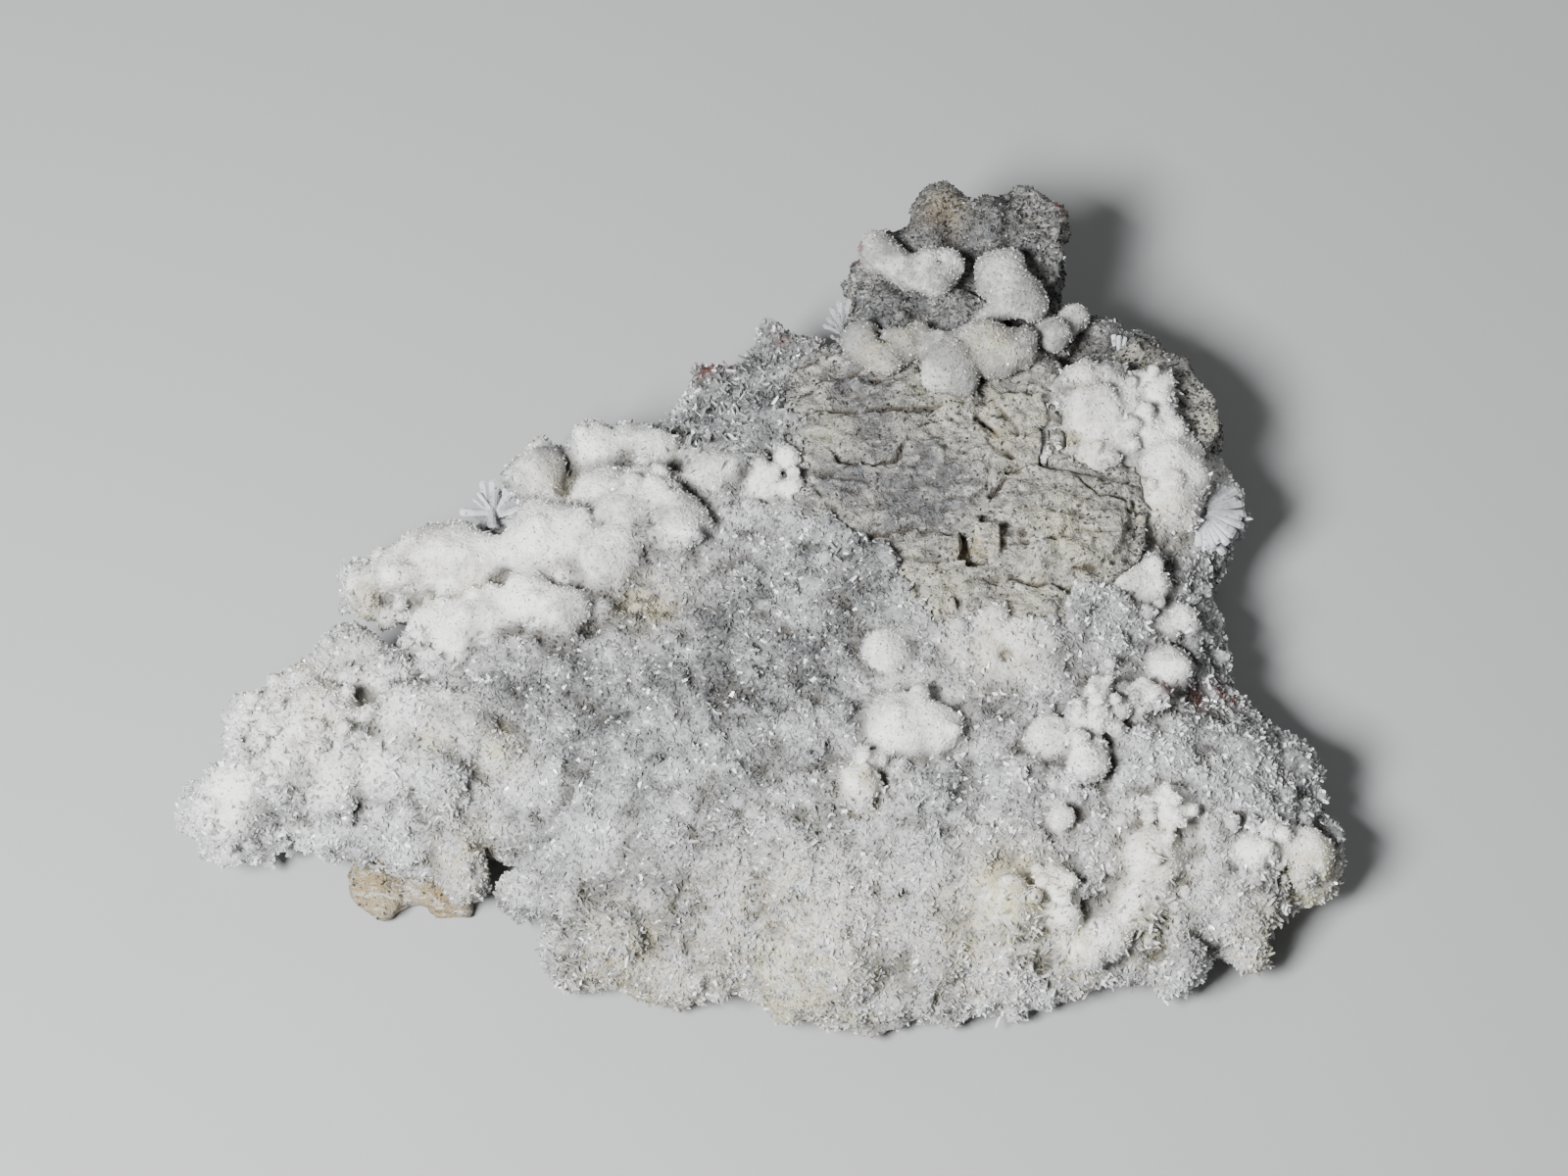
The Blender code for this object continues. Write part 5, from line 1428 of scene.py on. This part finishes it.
def add_blade(shape, root, tip, width, flatness):
    """A flat crystal blade with a chisel point, from plan millimetres."""
    root = Vector(root)
    tip = Vector(tip)
    along = (tip - root).normalized()
    across = along.cross(Vector((0.0, 0.0, 1.0))).normalized() * width / 2
    face = across.cross(along).normalized() * width * flatness / 2
    rings = []
    for share, breadth, depth in BLADE_RINGS:
        middle = root.lerp(tip, share)
        rings.append([
            shape.verts.new(middle + across * (wide * breadth) + face * (tall * depth))
            for wide, tall in BLADE_SECTION
        ])
    for low, high in zip(rings, rings[1:]):
        for here in range(len(BLADE_SECTION)):
            after = (here + 1) % len(BLADE_SECTION)
            shape.faces.new((low[here], low[after], high[after], high[here]))
    shape.faces.new(rings[0])
    shape.faces.new(rings[-1])


def blades_piece(name, blades, flatness, finish):
    """Blades, each with its root, tip and width, as one mesh in the frame."""
    shape = bmesh.new()
    for root, tip, width in blades:
        add_blade(shape, root, tip, width, flatness)
    bmesh.ops.recalc_face_normals(shape, faces=shape.faces)
    bmesh.ops.translate(shape, vec=(*PLAN_ORIGIN, 0.0), verts=shape.verts)
    bmesh.ops.scale(shape, vec=(MM, MM, MM), verts=shape.verts)
    thing = bmesh_object(name, shape)
    thing.data.materials.append(finish)
    shades = np.random.default_rng(len(blades)).uniform(0.0, DULL_SHADE, len(blades))
    set_values(thing, "shade", np.repeat(shades, len(BLADE_RINGS) * len(BLADE_SECTION)))
    return thing


def fan_blades():
    """A fan of flat blades that spreads from one root at the right edge."""
    random = np.random.default_rng(21)
    blades = []
    for tier, (level, count) in enumerate(FAN_TIERS):
        for number in range(count):
            share = (number + 0.5) / count
            jitter = random.uniform(-FAN_JITTER, FAN_JITTER)
            turn = math.radians(FAN_FIRST + (FAN_LAST - FAN_FIRST) * share + jitter)
            length = FAN_LENGTH * random.uniform(*FAN_SIZES) * (1.0 - FAN_TAPER * share)
            way = Vector((math.cos(turn), math.sin(turn), FAN_DROP - FAN_TIER_DROP * tier))
            middle = Vector((*FAN_ROOT, level))
            blades.append((middle + way * FAN_START, middle + way * length, FAN_WIDTH))
    return blades


def make_growth_tree():
    """Geometry nodes that spread small shapes over a surface and turn them into one mesh."""
    build, given, result = new_group(
        "crystal_growth",
        [
            ("Geometry", "NodeSocketGeometry", None),
            ("Shape", "NodeSocketObject", None),
            ("Material", "NodeSocketMaterial", None),
            ("Density", "NodeSocketFloat", 1.0),
            ("Tilt", "NodeSocketFloat", 0.5),
            ("Least Size", "NodeSocketFloat", 0.6),
            ("Greatest Size", "NodeSocketFloat", 1.4),
            ("Seed", "NodeSocketInt", 0),
        ],
        [("Geometry", "NodeSocketGeometry")],
        "GeometryNodeTree",
    )
    growth = build.node("GeometryNodeInputNamedAttribute", data_type="FLOAT")
    build.feed(growth.inputs["Name"], "growth")
    density = build.math("MULTIPLY", growth.outputs["Attribute"], given.outputs["Density"])
    spread = build.node("GeometryNodeDistributePointsOnFaces")
    build.feed(spread.inputs["Mesh"], given.outputs["Geometry"])
    build.feed(spread.inputs["Density"], density)
    build.feed(spread.inputs["Seed"], given.outputs["Seed"])

    # Each shape leans either way by up to the tilt, and turns by any angle about its own length
    lowest = build.node("ShaderNodeCombineXYZ")
    highest = build.node("ShaderNodeCombineXYZ")
    back_tilt = build.math("MULTIPLY", given.outputs["Tilt"], -1.0)
    for axis in ("X", "Y"):
        build.feed(lowest.inputs[axis], back_tilt)
        build.feed(highest.inputs[axis], given.outputs["Tilt"])
    build.feed(highest.inputs["Z"], math.tau)
    lean = build.node("FunctionNodeRandomValue", data_type="FLOAT_VECTOR")
    build.feed(lean.inputs["Min"], lowest.outputs[0])
    build.feed(lean.inputs["Max"], highest.outputs[0])
    build.feed(lean.inputs["Seed"], given.outputs["Seed"])
    to_rotation = build.node("FunctionNodeEulerToRotation")
    build.feed(to_rotation.inputs[0], lean.outputs["Value"])
    turn = build.node("FunctionNodeRotateRotation", rotation_space="LOCAL")
    build.feed(turn.inputs["Rotation"], spread.outputs["Rotation"])
    build.feed(turn.inputs["Rotate By"], to_rotation.outputs[0])

    size = build.node("FunctionNodeRandomValue", data_type="FLOAT")
    for place, label in zip(RANDOM_FLOAT_RANGE, ("Least Size", "Greatest Size")):
        build.feed(size.inputs[place], given.outputs[label])
    build.feed(size.inputs["Seed"], given.outputs["Seed"])
    shape = build.node("GeometryNodeObjectInfo")
    build.feed(shape.inputs["Object"], given.outputs["Shape"])
    placed = build.node("GeometryNodeInstanceOnPoints")
    build.feed(placed.inputs["Points"], spread.outputs["Points"])
    build.feed(placed.inputs["Instance"], shape.outputs["Geometry"])
    build.feed(placed.inputs["Rotation"], turn.outputs[0])
    build.feed(placed.inputs["Scale"], size.outputs[RANDOM_FLOAT_OUTPUT])

    chance = build.node("FunctionNodeRandomValue", data_type="FLOAT")
    build.feed(chance.inputs["Seed"], SHADE_SEED)
    shade = build.node("GeometryNodeStoreNamedAttribute", data_type="FLOAT", domain="INSTANCE")
    build.feed(shade.inputs["Name"], "shade")
    build.feed(shade.inputs["Geometry"], placed.outputs["Instances"])
    build.feed(shade.inputs["Value"], chance.outputs[RANDOM_FLOAT_OUTPUT])
    real = build.node("GeometryNodeRealizeInstances")
    build.feed(real.inputs["Geometry"], shade.outputs["Geometry"])
    finish = build.node("GeometryNodeSetMaterial")
    build.feed(finish.inputs["Geometry"], real.outputs["Geometry"])
    build.feed(finish.inputs["Material"], given.outputs["Material"])
    build.feed(result.inputs["Geometry"], finish.outputs["Geometry"])
    return build.tree


def grow(tree, name, surface, growth, values):
    """Spreads a shape over a surface, and returns the result as a plain mesh."""
    thing = add_object(name, surface.data.copy())
    set_values(thing, "growth", growth)
    modifier = thing.modifiers.new("growth", "NODES")
    modifier.node_group = tree
    for socket in tree.interface.items_tree:
        if socket.in_out == "INPUT" and socket.name in values:
            modifier[socket.identifier] = values[socket.name]
    settle_modifiers(thing)
    return thing


# Specimen

# Kinds of growth: small blade, finish, how many to the square metre, greatest lean in radians,
# least and greatest size
DRUSE = ("druse_blade", "icy_blades", 12e6, 1.3, (0.3, 1.15))
SPRAYS = ("spray_blade", "spray_blades", 3e6, 0.9, (0.45, 1.0))
VELVET = ("druse_blade", "velvet_blades", 6e6, 0.9, (0.25, 0.55))
CLUSTER_VELVET = ("druse_blade", "velvet_blades", 7.5e6, 0.9, (0.25, 0.55))
GRAINS = ("druse_blade", "grey_grains", 8e6, 1.3, (0.35, 0.85))
# Share of that number that grows
CROWD = 1.0
# Places along X at which the druse is cut into three pieces
DRUSE_CUTS = (-8.0, 14.0)
# Level from which crystals grow, and the rise over which they reach their full number
GROWTH_FOOT = 1.0
CRUST_GROWTH_RISE = 3.0
ROCK_GROWTH_RISE = 6.0
# Clusters on the bare rock: the node that each replaces, its balls, and its seed
CLUSTERS = (
    ("upper_crystal_lumps", UPPER_BALLS, 41),
    ("left_crystal_lumps", LEFT_BALLS, 51),
    ("shoulder_crystal_lumps", SHOULDER_BALLS, 61),
)


def add_piece(thing, slot, *nodes):
    """Hands a piece over: it rides on the root, and takes the place of these nodes."""
    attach(thing, "root")
    if nodes:
        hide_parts(*nodes)


def make_finishes():
    """All the materials of the specimen, by name."""
    stain = make_stain_group()
    grain = make_grain_group()
    patch = make_patch_group()
    finishes = {"crust": make_crust_material(stain, grain, patch)}
    for name, colors in BLADE_COLORS.items():
        finishes[name] = make_blade_material(name, stain, patch, *colors)
    finishes["rock"] = make_rock_material(stain, grain)
    finishes["clear"] = make_clear_material()
    return finishes


def large_piece(name, grid, field, most, crust_grid, crust):
    """The surface of the rock or of the crust, with few triangles where the crust buries it."""
    thing = surface_piece(name, grid, field)
    thin_hidden(thing, crust_grid.sample(crust, plan_points(thing)) < -BURIED_DEPTH, most)
    return thing


def make_cluster(name, balls, seed, rock_grid, rock, finish):
    """The lumps of one cluster, down to the rock that they sit on."""
    grid = grid_for(balls, LUMP_STEP)
    field = cluster_field(grid, balls, seed)
    field = np.maximum(field, ROCK_CLEARANCE - grid.take_from(rock_grid, rock))
    thing = surface_piece(name.replace("crystal_lumps", "lumps_surface"), grid, field)
    paint_cluster(thing, hollow(grid, field, plan_points(thing)))
    thing.data.materials.append(finish)
    return thing


def make_surfaces(finishes):
    """The rock, the crust and the clusters, and the crust's field with its grid."""
    rock_grid = full_grid(ROCK_STRETCHES)
    rock = rock_field(rock_grid)
    crust_grid = full_grid(CRUST_STRETCHES)
    crust = crust_field(crust_grid)
    crust_bare = np.maximum(crust, ROCK_CLEARANCE - crust_grid.take_from(rock_grid, rock))

    rock_piece = large_piece("rock_surface", rock_grid, rock, ROCK_FACES, crust_grid, crust)
    paint_rock(rock_piece, hollow(rock_grid, rock, plan_points(rock_piece)))
    rock_piece.data.materials.append(finishes["rock"])
    crust_piece = large_piece("crust_surface", crust_grid, crust_bare, CRUST_FACES, crust_grid, crust)
    paint_crust(crust_piece, hollow(crust_grid, crust, plan_points(crust_piece)))
    crust_piece.data.materials.append(finishes["crust"])
    clusters = [
        make_cluster(name, balls, seed, rock_grid, rock, finishes["crust"])
        for name, balls, seed in CLUSTERS
    ]

    add_piece(rock_piece, "rock", "rock_matrix")
    add_piece(crust_piece, "white_crystal", "crystal_crust")
    for thing, (node, _, _) in zip(clusters, CLUSTERS):
        add_piece(thing, "white_crystal", node)
    return rock_piece, crust_piece, clusters, crust_grid, crust


def share_above(level, rise):
    """From 0 at the foot of the growth to 1 where it has its full number."""
    return np.clip((level - GROWTH_FOOT) / rise, 0.0, 1.0)


def plan_growths(rock_piece, crust_piece, clusters, crust_grid, crust):
    """Each growth: its name, surface, how densely it grows at each point, kind and seed."""
    points = plan_points(crust_piece)
    x, y, level = points[:, 0], points[:, 1], points[:, 2]
    open_ground = np.where(crust_grid.sample(crust, points) < -0.12, 0.0, 1.0)
    open_ground *= share_above(level, CRUST_GROWTH_RISE)
    drusy = open_ground * druse_share(x, y)
    low, high = DRUSE_CUTS
    growths = [
        ("druse_left", crust_piece, drusy * (x < low), DRUSE, 3),
        ("druse_middle", crust_piece, drusy * ((x >= low) & (x <= high)), DRUSE, 4),
        ("druse_right", crust_piece, drusy * (x > high), DRUSE, 5),
        ("sprays", crust_piece, open_ground * soft_areas(x, y, SPRAY_AREAS), SPRAYS, 9),
        ("velvet", crust_piece, open_ground * lump_share(x, y), VELVET, 6),
    ]
    points = plan_points(rock_piece)
    bare = np.where(crust_grid.sample(crust, points) < 0.1, 0.0, 1.0)
    bare *= share_above(points[:, 2], ROCK_GROWTH_RISE)
    window = plan_distance(points[:, 0], points[:, 1], WINDOW_PLAN)
    growths.append(("rock_grains", rock_piece, bare * np.clip(window / 1.5 + 0.6, 0.2, 1.0), GRAINS, 7))
    for thing in clusters:
        everywhere = np.ones(len(thing.data.vertices))
        growths.append((thing.name.replace("surface", "velvet"), thing, everywhere, CLUSTER_VELVET, 8))
    return growths


def grow_crystals(growths, finishes):
    """Spreads the small blades of each growth, and hands the results over."""
    tree = make_growth_tree()
    blades = {
        "druse_blade": blade_shape("druse_blade", *DRUSE_BLADE),
        "spray_blade": blade_shape("spray_blade", *SPRAY_BLADE),
    }
    for name, surface, growth, kind, seed in growths:
        blade, finish, density, tilt, (least, greatest) = kind
        values = {
            "Shape": blades[blade], "Material": finishes[finish], "Density": density * CROWD,
            "Tilt": tilt, "Least Size": least, "Greatest Size": greatest, "Seed": seed,
        }
        add_piece(grow(tree, name, surface, growth, values), "white_crystal")
    for blade in blades.values():
        bpy.data.objects.remove(blade)


def build_specimen():
    """Builds every piece of the specimen."""
    finishes = make_finishes()
    surfaces = make_surfaces(finishes)
    grow_crystals(plan_growths(*surfaces), finishes)
    for name, blades, flatness in (
        ("fan_blades", fan_blades(), FAN_FLATNESS),
        ("spray_edge_blades", SPRAY_BLADES, SPRAY_FLATNESS),
    ):
        add_piece(blades_piece(name, blades, flatness, finishes["fan_blades"]), "white_crystal")
    clear_piece = blades_piece("clear_blades", CLEAR_BLADES, CLEAR_FLATNESS, finishes["clear"])
    add_piece(clear_piece, "clear_crystal", "clear_crystals")


# Studio

VIEW_HEIGHT = math.radians(62.0)
VIEW_DISTANCE = 340.0
VIEW_AIM = (1.588, 0.216, 8.0)
LENS = 100.0
NEAREST_SEEN = 0.01
# Area lights: name, place and size in metres, power
LIGHTS = (
    ("key", (-0.13, -0.14, 0.25), 0.10, 2.75),
    ("fill", (0.22, 0.28, 0.32), 0.3, 0.42),
)
WORLD_COLOR = (1.0, 1.0, 1.0, 1.0)
WORLD_STRENGTH = 0.10
FLOOR_SIZE = 3.0
FLOOR_COLOR = (0.36, 0.365, 0.37, 1.0)
FLOOR_ROUGHNESS = 0.9


def make_floor_material():
    """Plain grey floor of the studio."""
    material, _, shader = new_material("floor")
    shader.inputs["Base Color"].default_value = FLOOR_COLOR
    shader.inputs["Roughness"].default_value = FLOOR_ROUGHNESS
    return material


def aim(thing, target):
    """Turns a camera or a light towards a place."""
    way = Vector(target) - thing.location
    thing.rotation_euler = way.to_track_quat("-Z", "Y").to_euler()


def add_area_light(name, place, size, power, target):
    """A square light that shines on the target."""
    data = bpy.data.lights.new(name, "AREA")
    data.size = size
    data.energy = power
    light = add_object(name, data)
    light.location = place
    aim(light, target)


def set_up_studio():
    """Camera at the photo's angle, floor, lights and an even dim world."""
    target = Vector(VIEW_AIM) * MM
    camera_data = bpy.data.cameras.new("camera")
    camera_data.lens = LENS
    camera_data.clip_start = NEAREST_SEEN
    camera = add_object("camera", camera_data)
    away = Vector((0.0, -math.cos(VIEW_HEIGHT), math.sin(VIEW_HEIGHT)))
    camera.location = target + away * VIEW_DISTANCE * MM
    aim(camera, target)
    bpy.context.scene.camera = camera
    bpy.ops.mesh.primitive_plane_add(size=FLOOR_SIZE)
    floor = bpy.context.object
    floor.name = "floor"
    floor.data.materials.append(make_floor_material())
    for light in LIGHTS:
        add_area_light(*light, target)
    world = bpy.data.worlds.new("studio")
    world.use_nodes = True
    background = world.node_tree.nodes["Background"]
    background.inputs["Color"].default_value = WORLD_COLOR
    background.inputs["Strength"].default_value = WORLD_STRENGTH
    bpy.context.scene.world = world


build_specimen()
set_up_studio()
